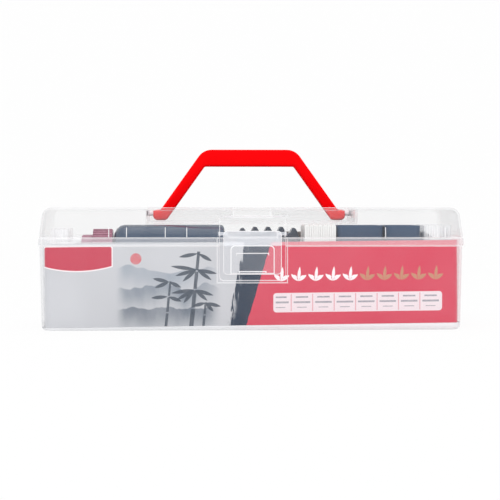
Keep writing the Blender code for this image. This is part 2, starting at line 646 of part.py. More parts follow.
def make_latch():
    """Latch: plate with a raised panel and finger lip, pivot barrel with two stubs, and its hook."""
    clear = finish("clear_latch", (0.94, 0.95, 0.96), 0.12, alpha=0.35)
    half = LATCH_WIDTH / 2
    outline = rounded(rectangle(
        (-half, LATCH_BOTTOM_Z), (half, LATCH_PIVOT_Z + LATCH_BARREL_RADIUS), LATCH_CORNER_RADIUS))
    latch = prism("latch_plate", outline, (LATCH_FACE_Y, LATCH_BACK_Y), "xz", clear)
    half_barrel = half - LATCH_CORNER_RADIUS
    root_y = LATCH_FACE_Y + LATCH_THICKNESS / 2
    barrel = [(root_y, LATCH_PIVOT_Z - LATCH_BARREL_RADIUS)]
    barrel += arc((LATCH_PIVOT_Y, LATCH_PIVOT_Z), LATCH_BARREL_RADIUS, -90, 90, 2 * ROUND_STEPS)
    barrel.append((root_y, LATCH_PIVOT_Z + LATCH_BARREL_RADIUS - LATCH_THICKNESS / 2))
    join(latch, prism("latch barrel", barrel, (-half_barrel, half_barrel), "yz"))
    reach = RECESS_WIDTH / 2 + LATCH_STUB_BITE
    join(latch, rod("latch stubs", LATCH_STUB_RADIUS, (-reach, reach), (LATCH_PIVOT_Y, LATCH_PIVOT_Z)))

    half_panel = LATCH_PANEL_WIDTH / 2
    panel_top = LATCH_PIVOT_Z - LATCH_PANEL_DROP
    panel_foot = LATCH_BOTTOM_Z + LATCH_THICKNESS / 2
    panel = rounded([
        (-half_panel, panel_foot, 0), (half_panel, panel_foot, 0),
        (half_panel, panel_top, LATCH_CORNER_RADIUS), (-half_panel, panel_top, LATCH_CORNER_RADIUS),
    ])
    join(latch, prism(
        "latch panel", panel, (LATCH_FACE_Y - LATCH_PANEL_PROUD, LATCH_FACE_Y + LATCH_THICKNESS / 2), "xz",
    ))
    join(latch, block(
        "latch lip",
        (-LATCH_LIP_WIDTH / 2, LATCH_FACE_Y - LATCH_LIP_PROUD, panel_foot),
        (LATCH_LIP_WIDTH / 2, LATCH_FACE_Y + LATCH_THICKNESS / 2, panel_foot + LATCH_LIP_HEIGHT),
    ))
    hook_top = CATCH_TOP_Z - CATCH_HEIGHT - FIT_GAP
    hook_tip = CATCH_CREST_Y - FIT_GAP
    hook_root = LATCH_BACK_Y - LATCH_THICKNESS / 2
    hook = [
        (hook_root, hook_top), (hook_tip, hook_top),
        (LATCH_BACK_Y, hook_top - HOOK_HEIGHT), (hook_root, hook_top - HOOK_HEIGHT),
    ]
    join(latch, prism("latch hook", hook, (-CATCH_WIDTH / 2, CATCH_WIDTH / 2), "yz"))
    hang(latch, (0, LATCH_PIVOT_Y, LATCH_PIVOT_Z))
    return latch


def handle_outline():
    """Outline of the bail in x and z: foot, leg and grip on the right, mirrored on the left."""
    top_z = HANDLE_PIVOT_Z + HANDLE_RISE
    grip_z = top_z - GRIP_HEIGHT
    foot_top = HANDLE_PIVOT_Z + FOOT_RISE
    foot_z = HANDLE_PIVOT_Z - FOOT_DROP
    lean = (LEG_FOOT_HALF - GRIP_TOP_HALF) / HANDLE_RISE

    def outer_x(z):
        return LEG_FOOT_HALF - lean * (z - HANDLE_PIVOT_Z)

    right = [
        (outer_x(grip_z) - LEG_WIDTH, grip_z, GRIP_INNER_RADIUS),
        (outer_x(foot_z) - LEG_WIDTH, foot_z, FOOT_RADIUS),
        (FOOT_HALF, foot_z, FOOT_RADIUS),
        (FOOT_HALF, foot_top, FOOT_RADIUS),
        (outer_x(foot_top), foot_top, 0),
        (outer_x(top_z), top_z, GRIP_OUTER_RADIUS),
    ]
    left = [(-x, z, radius) for x, z, radius in reversed(right)]
    return rounded(right + left, CORNER_STEPS + 1)


def make_handle():
    """Handle: one moulded bail with softly rounded edges and a stub on each foot."""
    red = finish("red_handle", (0.86, 0.02, 0.03), 0.32)
    half = HANDLE_THICKNESS / 2
    handle = prism(
        "handle", handle_outline(), (HANDLE_PIVOT_Y - half, HANDLE_PIVOT_Y + half), "xz", red,
    )
    bevel = handle.modifiers.new("soft edges", "BEVEL")
    bevel.width = HANDLE_EDGE_ROUND
    bevel.segments = ROUND_STEPS
    bevel.limit_method = "ANGLE"
    bevel.angle_limit = math.radians(60)
    reach = POCKET_LENGTH / 2 + HANDLE_STUB_BITE
    for side in (-1, 1):
        span = sorted((side * (FOOT_HALF - HANDLE_EDGE_ROUND), side * reach))
        join(handle, rod(f"handle stub {side}", HANDLE_STUB_RADIUS, span, (HANDLE_PIVOT_Y, HANDLE_PIVOT_Z)))
    hang(handle, (0, HANDLE_PIVOT_Y, HANDLE_PIVOT_Z))
    return handle


def make_card():
    """Card sleeve: a thin loop of card inside the base's four walls, a little higher at its right end."""
    print_face = finish("printed_card", (0.80, 0.30, 0.34), 0.45)
    rings = []
    for inset, side in ((0, -1), (0, 1), (CARD_THICKNESS, 1), (CARD_THICKNESS, -1)):
        half = (CARD_HALF_LENGTH - inset, CARD_HALF_DEPTH - inset)
        rings.append(plan_ring(*half, CARD_CORNER_RADIUS - inset, side * CARD_HEIGHT / 2))
    card = stack("card_sleeve", rings, print_face, closed=True)
    card.location = (0, 0, CARD_Z)
    card.rotation_euler = (0, -CARD_TILT, 0)
    return card


def soft_slab(name, half_length, half_depth, span, radius, material):
    """A flat pack with rounded upper and lower edges."""
    rings = []
    for u, v in arc((0, span[0] + radius), radius, -90, 0) + arc((0, span[1] - radius), radius, 0, 90):
        inset = radius - u
        rings.append(plan_ring(half_length - inset, half_depth - inset, 2 * radius - inset, v))
    return stack(name, rings, material)


def make_stack():
    """Folded mat on the floor of the base, and the paper pad on it."""
    felt = finish("felt", (0.74, 0.72, 0.66), 0.95)
    paper = finish("paper", (0.90, 0.88, 0.82), 0.8)
    soft_slab(
        "felt_mat", TRAY_HALF_LENGTH - MAT_SIDE_GAP, TRAY_HALF_DEPTH - MAT_SIDE_GAP,
        (MAT_Z, MAT_Z + MAT_HEIGHT), MAT_FOLD_RADIUS, felt,
    )
    soft_slab(
        "paper_pad", TRAY_HALF_LENGTH - PAPER_SIDE_GAP, TRAY_HALF_DEPTH - PAPER_SIDE_GAP,
        (PAPER_Z, PAPER_Z + PAPER_HEIGHT), PAPER_CORNER_RADIUS, paper,
    )


def ribbed_outline(low, high):
    """Outline of a raised tray block in x and y, with upright ribs along its front."""
    rib = (high[0] - low[0]) / BLOCK_RIBS
    front = []
    for number in range(BLOCK_RIBS):
        start = low[0] + number * rib
        front += [
            (start + rib / 4, low[1] + BLOCK_RIB_DEPTH), (start + rib / 2, low[1]),
            (start + rib * 3 / 4, low[1]), (start + rib, low[1] + BLOCK_RIB_DEPTH),
        ]
    return [(low[0], low[1] + BLOCK_RIB_DEPTH)] + front + [(high[0], high[1]), (low[0], high[1])]


def raised_blocks():
    """Corners of the tray's two raised blocks: low and high in x and y, and the rise above the deck."""
    low_y, high_y = FRONT_WELL_Y
    return (
        ("left", (-BLOCK_X, low_y), (LEFT_BLOCK_LENGTH - BLOCK_X, high_y), LEFT_BLOCK_RISE),
        ("right", (BLOCK_X - RIGHT_BLOCK_LENGTH, low_y), (BLOCK_X, high_y), RIGHT_BLOCK_RISE),
    )


def wells():
    """Wells of the tray: name, low and high corner in x and y, and floor height."""
    rows = (
        ("bottle", BOTTLE_WELL_X, FRONT_WELL_Y, BOTTLE_WELL_FLOOR_Z),
        ("accessory", ACCESSORY_WELL_X, FRONT_WELL_Y, ACCESSORY_FLOOR_Z),
        ("brush", BRUSH_WELL_X, BRUSH_WELL_Y, BRUSH_FLOOR_Z),
    )
    return [(name, (x[0], y[0]), (x[1], y[1]), floor_z) for name, x, y, floor_z in rows]


def grown(corner, sign, amount):
    """A corner in x and y moved outward by an amount, sign -1 for a low corner and 1 for a high one."""
    return (corner[0] + sign * amount, corner[1] + sign * amount)


def make_tray():
    """Tray: a skirted deck with three wells and two raised end blocks, thin all over."""
    clear = finish("clear_tray", (0.95, 0.96, 0.97), 0.1, alpha=0.25)
    half = (TRAY_HALF_LENGTH, TRAY_HALF_DEPTH)
    tray = stack("inner_tray", [
        plan_ring(*half, TRAY_CORNER_RADIUS, TRAY_Z), plan_ring(*half, TRAY_CORNER_RADIUS, DECK_Z),
    ], clear)
    inner = (TRAY_HALF_LENGTH - TRAY_WALL, TRAY_HALF_DEPTH - TRAY_WALL, TRAY_CORNER_RADIUS - TRAY_WALL)
    underside = stack("tray underside", [
        plan_ring(*inner, TRAY_Z - OVERRUN), plan_ring(*inner, DECK_Z - TRAY_WALL),
    ])
    for name, low, high, floor_z in wells():
        back = rectangle(grown(low, -1, TRAY_WALL), grown(high, 1, TRAY_WALL), WELL_CORNER_RADIUS + TRAY_WALL)
        span = (floor_z - TRAY_WALL, DECK_Z + OVERRUN)
        cut(underside, prism(f"{name} well back", rounded(back, ROUND_STEPS), span))
        open_well = rounded(rectangle(low, high, WELL_CORNER_RADIUS), ROUND_STEPS)
        cut(tray, prism(f"{name} well", open_well, (floor_z, DECK_Z + OVERRUN)))
    for name, low, high, rise in raised_blocks():
        span = (DECK_Z - TRAY_WALL / 2, DECK_Z + rise)
        join(tray, prism(f"{name} raised block", ribbed_outline(low, high), span))
        inset = BLOCK_RIB_DEPTH + TRAY_WALL
        join(underside, block(
            f"{name} block hollow",
            (*grown(low, 1, inset), DECK_Z - 2 * TRAY_WALL),
            (*grown(high, -1, inset), DECK_Z + rise - TRAY_WALL),
        ))
    cut(tray, underside)
    return tray


def along_x(point, direction):
    """A matrix that lays a body turned about +Z along X from a point, to the left or the right."""
    turn = Matrix.Rotation(direction * math.pi / 2, 4, "Y")
    return Matrix.Translation(Vector(point)) @ turn


def make_bottle():
    """Bottle, plug, cap and ink, all turned about one axis."""
    dark = finish("dark_bottle", (0.03, 0.035, 0.045), 0.25)
    red = finish("red_cap", (0.72, 0.03, 0.05), 0.35)
    white = finish("white_plug", (0.88, 0.88, 0.86), 0.4)
    black = finish("ink", (0.01, 0.01, 0.012), 0.1)
    place = along_x((BOTTLE_END_X, FRONT_WELL_MIDDLE_Y, BOTTLE_Z), -1)
    neck_start = BOTTLE_LENGTH + BOTTLE_SHOULDER
    neck_end = neck_start + BOTTLE_NECK_LENGTH
    shoulder_run = BOTTLE_RADIUS - BOTTLE_NECK_RADIUS
    inner_radius = BOTTLE_RADIUS - BOTTLE_WALL
    bore = BOTTLE_NECK_RADIUS * NECK_BORE_SHARE

    def shoulder(outer, start, run, rise):
        angles = [math.radians(90 * step / (ROUND_STEPS + 1)) for step in range(ROUND_STEPS + 2)]
        return [(outer - run * (1 - math.cos(a)), start + rise * math.sin(a)) for a in angles]

    foot = arc((BOTTLE_RADIUS - BOTTLE_FOOT_ROUND, BOTTLE_FOOT_ROUND), BOTTLE_FOOT_ROUND, -90, 0)
    outside = [(0, 0)] + foot + shoulder(BOTTLE_RADIUS, BOTTLE_LENGTH, shoulder_run, BOTTLE_SHOULDER)
    inside = shoulder(inner_radius, BOTTLE_LENGTH, inner_radius - bore, BOTTLE_SHOULDER - BOTTLE_WALL)
    profile = outside + [(BOTTLE_NECK_RADIUS, neck_end), (bore, neck_end)]
    profile += list(reversed(inside)) + [(inner_radius, BOTTLE_WALL), (0, BOTTLE_WALL)]
    turned("ink_bottle", profile, TURN_SIDES, dark, place)

    fill_radius = inner_radius - FIT_GAP
    fill = [(0, BOTTLE_WALL + FIT_GAP), (fill_radius, BOTTLE_WALL + FIT_GAP)]
    fill += shoulder(fill_radius, BOTTLE_LENGTH - FIT_GAP, fill_radius - bore, BOTTLE_SHOULDER - BOTTLE_WALL)
    fill += [(0, fill[-1][1])]
    turned("ink_fill", fill, TURN_SIDES, black, place)

    flange_start = neck_end + FIT_GAP
    flange_end = flange_start + PLUG_FLANGE
    nozzle_end = flange_end + NOZZLE_LENGTH
    plug_start = neck_end - PLUG_DEPTH
    plug = [
        (PLUG_BORE, plug_start), (bore - FIT_GAP, plug_start), (bore - FIT_GAP, flange_start),
        (BOTTLE_NECK_RADIUS - FIT_GAP, flange_start), (BOTTLE_NECK_RADIUS - FIT_GAP, flange_end),
        (NOZZLE_RADIUS, flange_end), (NOZZLE_RADIUS - PLUG_BORE / 2, nozzle_end), (PLUG_BORE, nozzle_end),
    ]
    turned("bottle_plug", plug, SMALL_SIDES, white, place)

    skirt_end = CAP_START + CAP_SKIRT
    crown_end = skirt_end + CAP_CROWN
    cap_bore = BOTTLE_NECK_RADIUS + CAP_RUN_GAP
    cap = [(cap_bore, CAP_START), (CAP_RADIUS, CAP_START)]
    cap += arc((CAP_RADIUS - CAP_EDGE_ROUND, skirt_end - CAP_EDGE_ROUND), CAP_EDGE_ROUND, 0, 90)
    cap += [(CAP_CROWN_RADIUS, skirt_end)]
    cap += arc((CAP_CROWN_RADIUS - CAP_EDGE_ROUND, crown_end - CAP_EDGE_ROUND), CAP_EDGE_ROUND, 0, 90)
    cap += [
        (0, crown_end), (0, nozzle_end + CAP_RUN_GAP), (CAP_NOZZLE_BORE, nozzle_end + CAP_RUN_GAP),
        (CAP_NOZZLE_BORE, flange_end + CAP_RUN_GAP), (cap_bore, flange_end + CAP_RUN_GAP),
    ]
    first = cap.index((0, crown_end))
    cap = list(reversed(cap[:first + 1])) + list(reversed(cap[first + 1:]))
    made = turned("bottle_cap", cap, TURN_SIDES, red, place)
    hang(made, place @ Vector((0, 0, CAP_START)))


def make_rest():
    """Brush rest: a row of peaks between square shoulders, the middle one the highest."""
    dark_wood = finish("dark_rest", (0.06, 0.045, 0.04), 0.4)
    samples = REST_PEAKS * 8
    floor = ACCESSORY_FLOOR_Z + FIT_GAP
    crest = [(REST_X, floor + REST_FOOT_HEIGHT)]
    for sample in range(1, samples):
        share = sample / samples
        swell = 1 - abs(2 * share - 1) ** REST_END_FULLNESS
        envelope = REST_FOOT_HEIGHT + (REST_HEIGHT - REST_FOOT_HEIGHT) * math.sqrt(swell)
        dip = REST_VALLEY_DEPTH * swell * (1 + math.cos(2 * math.pi * REST_PEAKS * share)) / 2
        crest.append((REST_X + share * REST_LENGTH, floor + envelope - dip))
    crest.append((REST_X + REST_LENGTH, floor + REST_FOOT_HEIGHT))
    outline = [(REST_X + REST_LENGTH, floor), (REST_X, floor)] + crest
    half = REST_THICKNESS / 2
    rest = prism(
        "brush_rest", outline, (FRONT_WELL_MIDDLE_Y - half, FRONT_WELL_MIDDLE_Y + half), "xz", dark_wood,
    )
    bevel = rest.modifiers.new("soft edges", "BEVEL")
    bevel.width = REST_EDGE_ROUND
    bevel.segments = 1
    bevel.limit_method = "ANGLE"
    bevel.angle_limit = math.radians(60)


def make_cloth():
    """Writing cloth: a folded pack whose folds run front to back."""
    pale = finish("pale_cloth", (0.90, 0.90, 0.88), 0.9)
    low_z = ACCESSORY_FLOOR_Z + FIT_GAP
    outline = rounded(rectangle(
        (CLOTH_X, low_z), (CLOTH_X + CLOTH_LENGTH, low_z + CLOTH_HEIGHT), CLOTH_FOLD_RADIUS))
    span = (FRONT_WELL_Y[0] + WELL_GAP, FRONT_WELL_Y[1] - WELL_GAP)
    prism("writing_cloth", outline, span, "xz", pale)


def make_dish(name, left_x, length, material):
    """A deep open dish with flared sides."""
    low_y = FRONT_WELL_Y[0] + WELL_GAP
    high_y = FRONT_WELL_Y[1] - WELL_GAP
    foot_z = ACCESSORY_FLOOR_Z + FIT_GAP
    brim_z = foot_z + DISH_HEIGHT
    levels = (
        (DISH_FLARE, foot_z), (0, brim_z), (DISH_WALL, brim_z), (DISH_WALL + DISH_FLARE, foot_z + DISH_FLOOR),
    )
    rings = []
    for inset, z in levels:
        low = (left_x + inset, low_y + inset)
        high = (left_x + length - inset, high_y - inset)
        outline = rounded(rectangle(low, high, DISH_CORNER_RADIUS - inset))
        rings.append([(u, v, z) for u, v in outline])
    stack(name, rings, material)


def make_dishes():
    """The ink dish and the smaller water dish beside it."""
    slate = finish("slate_dish", (0.07, 0.085, 0.11), 0.35)
    make_dish("ink_dish", INK_DISH_X, INK_DISH_LENGTH, slate)
    make_dish("water_dish", WATER_DISH_X, WATER_DISH_LENGTH, slate)


def make_brushes():
    """Four brushes side by side, hair to the left, each with a capped tip and a dark end knob."""
    bamboo = finish("bamboo", (0.07, 0.045, 0.035), 0.5)
    horn = finish("horn", (0.03, 0.03, 0.035), 0.3)
    hair = finish("hair", (0.82, 0.74, 0.58), 0.7)
    clear = finish("clear_cap", (0.93, 0.95, 0.95), 0.15, alpha=0.4)
    front_y = BRUSH_WELL_Y[0]
    sizes = zip(BRUSH_LENGTHS, BRUSH_WIDTH_SHARES)
    for number, ((hair_length, head_room), width_share) in enumerate(sizes, 1):
        cap_outer = BRUSH_WELL_WIDTH * width_share / 2
        cap_inner = cap_outer - BRUSH_CAP_WALL
        hair_radius = cap_inner - BRUSH_CAP_GAP
        shaft_radius = hair_radius * BRUSH_SHAFT_SHARE
        y = front_y + BRUSH_SPACING + cap_outer
        front_y = y + cap_outer
        z = BRUSH_FLOOR_Z + FIT_GAP + cap_outer
        head_x = BRUSH_WELL_X[0] + head_room + hair_length + BRUSH_CAP_SPARE
        knob_x = BRUSH_WELL_X[1] - BRUSH_END_GAP - KNOB_LENGTH
        shaft_length = knob_x - FIT_GAP - head_x
        rightward = along_x((head_x, y, z), 1)
        leftward = along_x((head_x - FIT_GAP, y, z), -1)
        knob_place = along_x((knob_x, y, z), 1)
        edge = shaft_radius / 4
        shaft = [
            (0, 0), (shaft_radius - edge, 0), (shaft_radius, edge), (shaft_radius, shaft_length - edge),
            (shaft_radius - edge, shaft_length), (0, shaft_length),
        ]
        turned(f"brush_{number}_shaft", shaft, BRUSH_SIDES, bamboo, rightward)
        neck_radius = shaft_radius * KNOB_NECK_SHARE
        knob = [
            (0, 0), (shaft_radius, 0), (shaft_radius, KNOB_LENGTH / 3),
            (neck_radius, KNOB_LENGTH / 2), (neck_radius, KNOB_LENGTH * 3 / 4), (0, KNOB_LENGTH),
        ]
        turned(f"brush_{number}_knob", knob, BRUSH_SIDES, horn, knob_place)
        tip = [
            (0, 0), (hair_radius * HAIR_ROOT_SHARE, 0), (hair_radius, hair_length * HAIR_BELLY_SHARE),
            (hair_radius * HAIR_ROOT_SHARE, hair_length * 2 / 3), (0, hair_length),
        ]
        turned(f"brush_{number}_tip", tip, BRUSH_SIDES, hair, leftward)
        cap_length = BRUSH_CAP_OVERLAP + hair_length + BRUSH_CAP_SPARE
        cap_place = along_x((head_x + BRUSH_CAP_OVERLAP, y, z), -1)
        cap_floor = cap_length - BRUSH_CAP_WALL
        cap = [
            (0, cap_length), (cap_inner, cap_length), (cap_outer, cap_floor),
            (cap_outer, 0), (cap_inner, 0), (cap_inner, cap_floor), (0, cap_floor),
        ]
        turned(f"brush_{number}_cap", cap, BRUSH_SIDES, clear, cap_place)


def main():
    clear_scene()
    make_base()
    make_lid()
    make_hinge_pins()
    make_latch()
    make_handle()
    make_card()
    make_stack()
    make_tray()
    make_bottle()
    make_rest()
    make_cloth()
    make_dishes()
    make_brushes()


main()
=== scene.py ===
"""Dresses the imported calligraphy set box: clear case, red handle, printed card and the writing set inside."""

import math

import bmesh
import bpy
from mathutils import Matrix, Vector, noise


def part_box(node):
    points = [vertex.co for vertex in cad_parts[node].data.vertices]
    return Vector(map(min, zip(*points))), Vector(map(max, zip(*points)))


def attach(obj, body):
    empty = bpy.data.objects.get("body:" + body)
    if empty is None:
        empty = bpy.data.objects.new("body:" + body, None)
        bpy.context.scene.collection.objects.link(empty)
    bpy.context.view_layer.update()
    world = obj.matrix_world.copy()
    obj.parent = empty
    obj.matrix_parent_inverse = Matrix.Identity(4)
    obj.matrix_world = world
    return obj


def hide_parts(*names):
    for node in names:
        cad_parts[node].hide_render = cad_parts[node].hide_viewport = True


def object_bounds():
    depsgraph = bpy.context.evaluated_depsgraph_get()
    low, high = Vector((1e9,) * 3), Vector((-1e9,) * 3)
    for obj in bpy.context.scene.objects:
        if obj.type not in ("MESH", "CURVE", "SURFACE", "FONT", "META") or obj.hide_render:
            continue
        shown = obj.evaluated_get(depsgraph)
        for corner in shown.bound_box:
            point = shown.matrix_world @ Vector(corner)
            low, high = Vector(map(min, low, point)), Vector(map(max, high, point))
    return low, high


bl_info = {
    "name": "Calligraphy Set Box",
    "version": (1, 0, 0),
    "blender": (4, 5, 0),
    "location": "View3D > Sidebar > Writing Box",
    "description": "Finishes a clear carry case and the brush-writing set inside it",
    "category": "Object",
}

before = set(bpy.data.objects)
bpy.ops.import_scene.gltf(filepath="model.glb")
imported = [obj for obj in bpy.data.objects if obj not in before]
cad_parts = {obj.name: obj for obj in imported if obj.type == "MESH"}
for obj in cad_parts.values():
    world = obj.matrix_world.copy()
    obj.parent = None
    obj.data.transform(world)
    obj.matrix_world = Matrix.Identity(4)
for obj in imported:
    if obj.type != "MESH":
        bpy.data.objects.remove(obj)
CAD_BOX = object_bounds()
MM = 0.001

LID_LOW, LID_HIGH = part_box("lid_shell")
BASE_LOW, BASE_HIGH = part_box("base_tray")
CARD_LOW, CARD_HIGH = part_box("card_sleeve")
LATCH_LOW, LATCH_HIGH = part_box("latch_plate")
HANDLE_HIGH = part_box("handle")[1]
STUB_X = HANDLE_HIGH.x - 4.9 * MM
RIM_BAND_Z = BASE_HIGH.z - 5.4 * MM
LATCH_PANEL_Z = LATCH_LOW.z + 21.4 * MM
CARD_TILT = math.tan(math.radians(0.6))
CARD_HALF, CARD_CORNER = 0.3 * MM, 5.2 * MM
CAMERA_AIM = Vector((-1.5 * MM, CARD_LOW.y + 5 * MM, 60.0 * MM))
EYE_HEIGHT = LID_HIGH.z + 0.4 * MM


# ----- colours and shader maths

def paint(red, green, blue):
    """A display colour, each channel from 0 to 255, as the linear light that a shader takes."""
    return tuple(
        c / 255 / 12.92 if c <= 10 else ((c / 255 + 0.055) / 1.055) ** 2.4
        for c in (red, green, blue)
    )


def shaded(colour, share):
    """That colour at a share of its light."""
    return tuple(share * c for c in colour)


def maths(operation, swapped=False):
    """A Field's method that adds a Math node, with the field as its last value if swapped."""
    def method(self, *others):
        values = (*others, self) if swapped else (self, *others)
        return self.sheet.node("ShaderNodeMath", {"operation": operation}, *values)
    return method


class Field:
    """A value that varies over a surface: a node socket that Python expressions can use."""

    __add__ = __radd__ = maths("ADD")
    __mul__ = __rmul__ = maths("MULTIPLY")
    __sub__, __rsub__ = maths("SUBTRACT"), maths("SUBTRACT", swapped=True)
    __truediv__, __rtruediv__ = maths("DIVIDE"), maths("DIVIDE", swapped=True)
    __pow__, __mod__, __abs__ = maths("POWER"), maths("FLOORED_MODULO"), maths("ABSOLUTE")
    least, most = maths("MINIMUM"), maths("MAXIMUM")
    sine, cosine, floor = maths("SINE"), maths("COSINE"), maths("FLOOR")

    def __init__(self, sheet, socket):
        self.sheet, self.socket = sheet, socket

    def rise(self, low, high):
        """0 below low, 1 above high, and a smooth step between them. high may be the smaller one."""
        return self.sheet.node("ShaderNodeMapRange", {"interpolation_type": "SMOOTHSTEP"}, self, low, high)

    def between(self, low, high, blur):
        """1 from low to high and 0 outside, each step reaching blur to both sides."""
        return self.rise(low - blur, low + blur) * self.rise(high + blur, high - blur)


class NodeSheet:
    """A node tree that nodes are added to by their type, settings and sockets."""

    def __init__(self, tree):
        self.tree = tree

    def plug(self, socket, value):
        """Links a socket to a field, or to each field of a list, or gives it a value."""
        if isinstance(value, Field):
            self.tree.links.new(value.socket, socket)
        elif isinstance(value, list):
            for each in value:
                self.tree.links.new(each.socket, socket)
        elif socket.type == "RGBA" and len(value) == 3:
            socket.default_value = (*value, 1.0)
        else:
            socket.default_value = value

    def node(self, kind, settings=None, *values, output=0, **named):
        """Adds a node: its settings, then the values or links of its sockets, in order or by name."""
        made = self.tree.nodes.new(kind)
        for key, value in (settings or {}).items():
            setattr(made, key, value)
        shown = [s for s in made.inputs if s.enabled]
        for socket, value in zip(shown, values):
            if value is not None:
                self.plug(socket, value)
        for key, value in named.items():
            self.plug(next(s for s in shown if s.name == key.replace("_", " ")), value)
        outputs = [s for s in made.outputs if s.enabled]
        return Field(self, outputs[output] if isinstance(output, int) else made.outputs[output])

    def found(self, kind):
        """The node of a kind that the tree holds from the start."""
        return next(n for n in self.tree.nodes if n.type == kind)

    def close(self, kind, factor, first, second):
        """Ends the tree in the first shader where factor is 0, and in the second where it is 1."""
        mixed = self.node("ShaderNodeMixShader", None, factor, first, second)
        self.plug(self.found(kind).inputs["Surface"], mixed)


class Finish(NodeSheet):
    """A material being made: one Principled shader and the nodes that feed it."""

    def __init__(self, name, specular=0.5, **constants):
        self.material = bpy.data.materials.new(name)
        self.material.use_nodes = True
        super().__init__(self.material.node_tree)
        self.shader = self.found("BSDF_PRINCIPLED")
        self.set(Specular_IOR_Level=specular, **constants)

    def set(self, **values):
        """Sets or links the shader's sockets; an underscore stands for a space."""
        for key, value in values.items():
            self.plug(self.shader.inputs[key.replace("_", " ")], value)
        return self

    def point(self):
        """Where the surface point is, in the object's own metres."""
        return self.node("ShaderNodeTexCoord", output="Object")

    def axes(self):
        """The surface point's x, y and z."""
        made = self.node("ShaderNodeSeparateXYZ", None, self.point()).socket.node
        return [Field(self, s) for s in made.outputs]

    def mix(self, factor, first, second):
        """The first colour where factor is 0, and the second where it is 1."""
        return self.node("ShaderNodeMix", {"data_type": "RGBA"}, factor, first, second)

    def noise(self, scale, detail=2.0, x=1.0, y=1.0, z=1.0, turn=(0.0, 0.0, 0.0), shift=(0.0, 0.0, 0.0)):
        """Noise from 0 to 1, scale grains to the metre, drawn out along the axes whose number is small."""
        vector = self.node("ShaderNodeMapping", None, self.point(), shift, turn, (x, y, z))
        return self.node("ShaderNodeTexNoise", None, vector, Scale=scale, Detail=detail)

    def bump(self, height, distance, strength=1.0):
        """Sets a bump that stands out by about distance, in metres, where height is 1."""
        normal = self.node("ShaderNodeBump", None, Strength=strength, Distance=distance, Height=height)
        return self.set(Normal=normal)


class Growth(NodeSheet):
    """A Geometry Nodes tree with named sizes, whose result becomes a plain mesh."""

    def __init__(self, name, **sizes):
        super().__init__(bpy.data.node_groups.new(name, "GeometryNodeTree"))
        face = self.tree.interface
        face.new_socket("Geometry", in_out="OUTPUT", socket_type="NodeSocketGeometry")
        self.sizes, self.sockets = sizes, {}
        for key, value in sizes.items():
            kind = "NodeSocketInt" if isinstance(value, int) else "NodeSocketFloat"
            made = face.new_socket(key, in_out="INPUT", socket_type=kind)
            self.sockets[key] = made.identifier
        self.entry = self.tree.nodes.new("NodeGroupInput")

    def __getitem__(self, key):
        return Field(self, self.entry.outputs[key])

    def vector(self, x=0.0, y=0.0, z=0.0):
        return self.node("ShaderNodeCombineXYZ", None, x, y, z)

    def end(self, geometry, finish):
        """Closes the tree: the copies made real, in their finish."""
        real = self.node("GeometryNodeRealizeInstances", None, geometry)
        done = self.node("GeometryNodeSetMaterial", None, real, Material=finish.material)
        self.plug(self.tree.nodes.new("NodeGroupOutput").inputs[0], done)
        return self

    def grow(self, name, **sizes):
        """One piece from the tree, with those sizes, as a plain mesh."""
        made = new_object(name, bpy.data.meshes.new(name))
        modifier = made.modifiers.new(name, "NODES")
        modifier.node_group = self.tree
        for key, value in {**self.sizes, **sizes}.items():
            modifier[self.sockets[key]] = value
        graph = bpy.context.evaluated_depsgraph_get()
        made_mesh = bpy.data.meshes.new_from_object(made.evaluated_get(graph))
        made.modifiers.remove(modifier)
        empty, made.data = made.data, made_mesh
        bpy.data.meshes.remove(empty)
        made_mesh.name = name
        return made


# ----- mesh helpers

def new_object(name, data):
    """A new object in the scene, at the origin."""
    made = bpy.data.objects.new(name, data)
    bpy.context.scene.collection.objects.link(made)
    return made


def mesh_object(name, shape, *finishes):
    """A new object from a bmesh, with its materials in order."""
    mesh = bpy.data.meshes.new(name)
    shape.to_mesh(mesh)
    shape.free()
    for finish in finishes:
        mesh.materials.append(finish.material)
    return new_object(name, mesh)


CLEAR_SLOTS = ("clear_case", "clear_film", "clear_cap")


def settle(made, body, slot, *nodes):
    """Makes a finished piece ride on its body and stand for its CAD nodes, which it hides.

    Clear pieces neither throw a shadow nor stop bounced light, so that daylight reaches what they hold."""
    made.visible_shadow = made.visible_diffuse = slot not in CLEAR_SLOTS
    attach(made, body)
    if nodes:
        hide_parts(*nodes)


def whole_mesh(node):
    """A CAD node's faces as a bmesh, joined at their corners and with the flat ones whole."""
    shape = bmesh.new()
    shape.from_mesh(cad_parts[node].data)
    bmesh.ops.remove_doubles(shape, verts=shape.verts, dist=0.002 * MM)
    bmesh.ops.dissolve_limit(
        shape, angle_limit=math.radians(0.6), verts=shape.verts, edges=shape.edges, delimit={"NORMAL"}
    )
    shape.normal_update()
    return shape


CORNER = math.radians(32)


def smooth(made):
    """Shades a piece smooth but for its corners."""
    made.data.shade_smooth()
    made.data.set_sharp_from_angle(angle=CORNER)


def softened(name, node, body, slot, width, *finishes, steps=2, keep_sharp=()):
    """A CAD node's shape with rounded edges, in place of the node.

    The rounded strips take the second finish, if there is one. Edges in a keep_sharp box stay as they are."""
    shape = whole_mesh(node)
    weight = shape.edges.layers.float.new("bevel_weight_edge")
    for edge in shape.edges:
        middle = (edge.verts[0].co + edge.verts[1].co) / 2
        kept = any(all(low[i] < middle[i] < high[i] for i in range(3)) for low, high in keep_sharp)
        if len(edge.link_faces) == 2 and edge.calc_face_angle() > CORNER and not kept:
            edge[weight] = 1.0
    made = mesh_object(name, shape, *finishes)
    smooth(made)
    bevel = made.modifiers.new("soft edges", "BEVEL")
    bevel.width, bevel.segments, bevel.limit_method = width, steps, "WEIGHT"
    bevel.use_clamp_overlap = False
    bevel.material = 1 if len(finishes) > 1 else -1
    settle(made, body, slot, node)


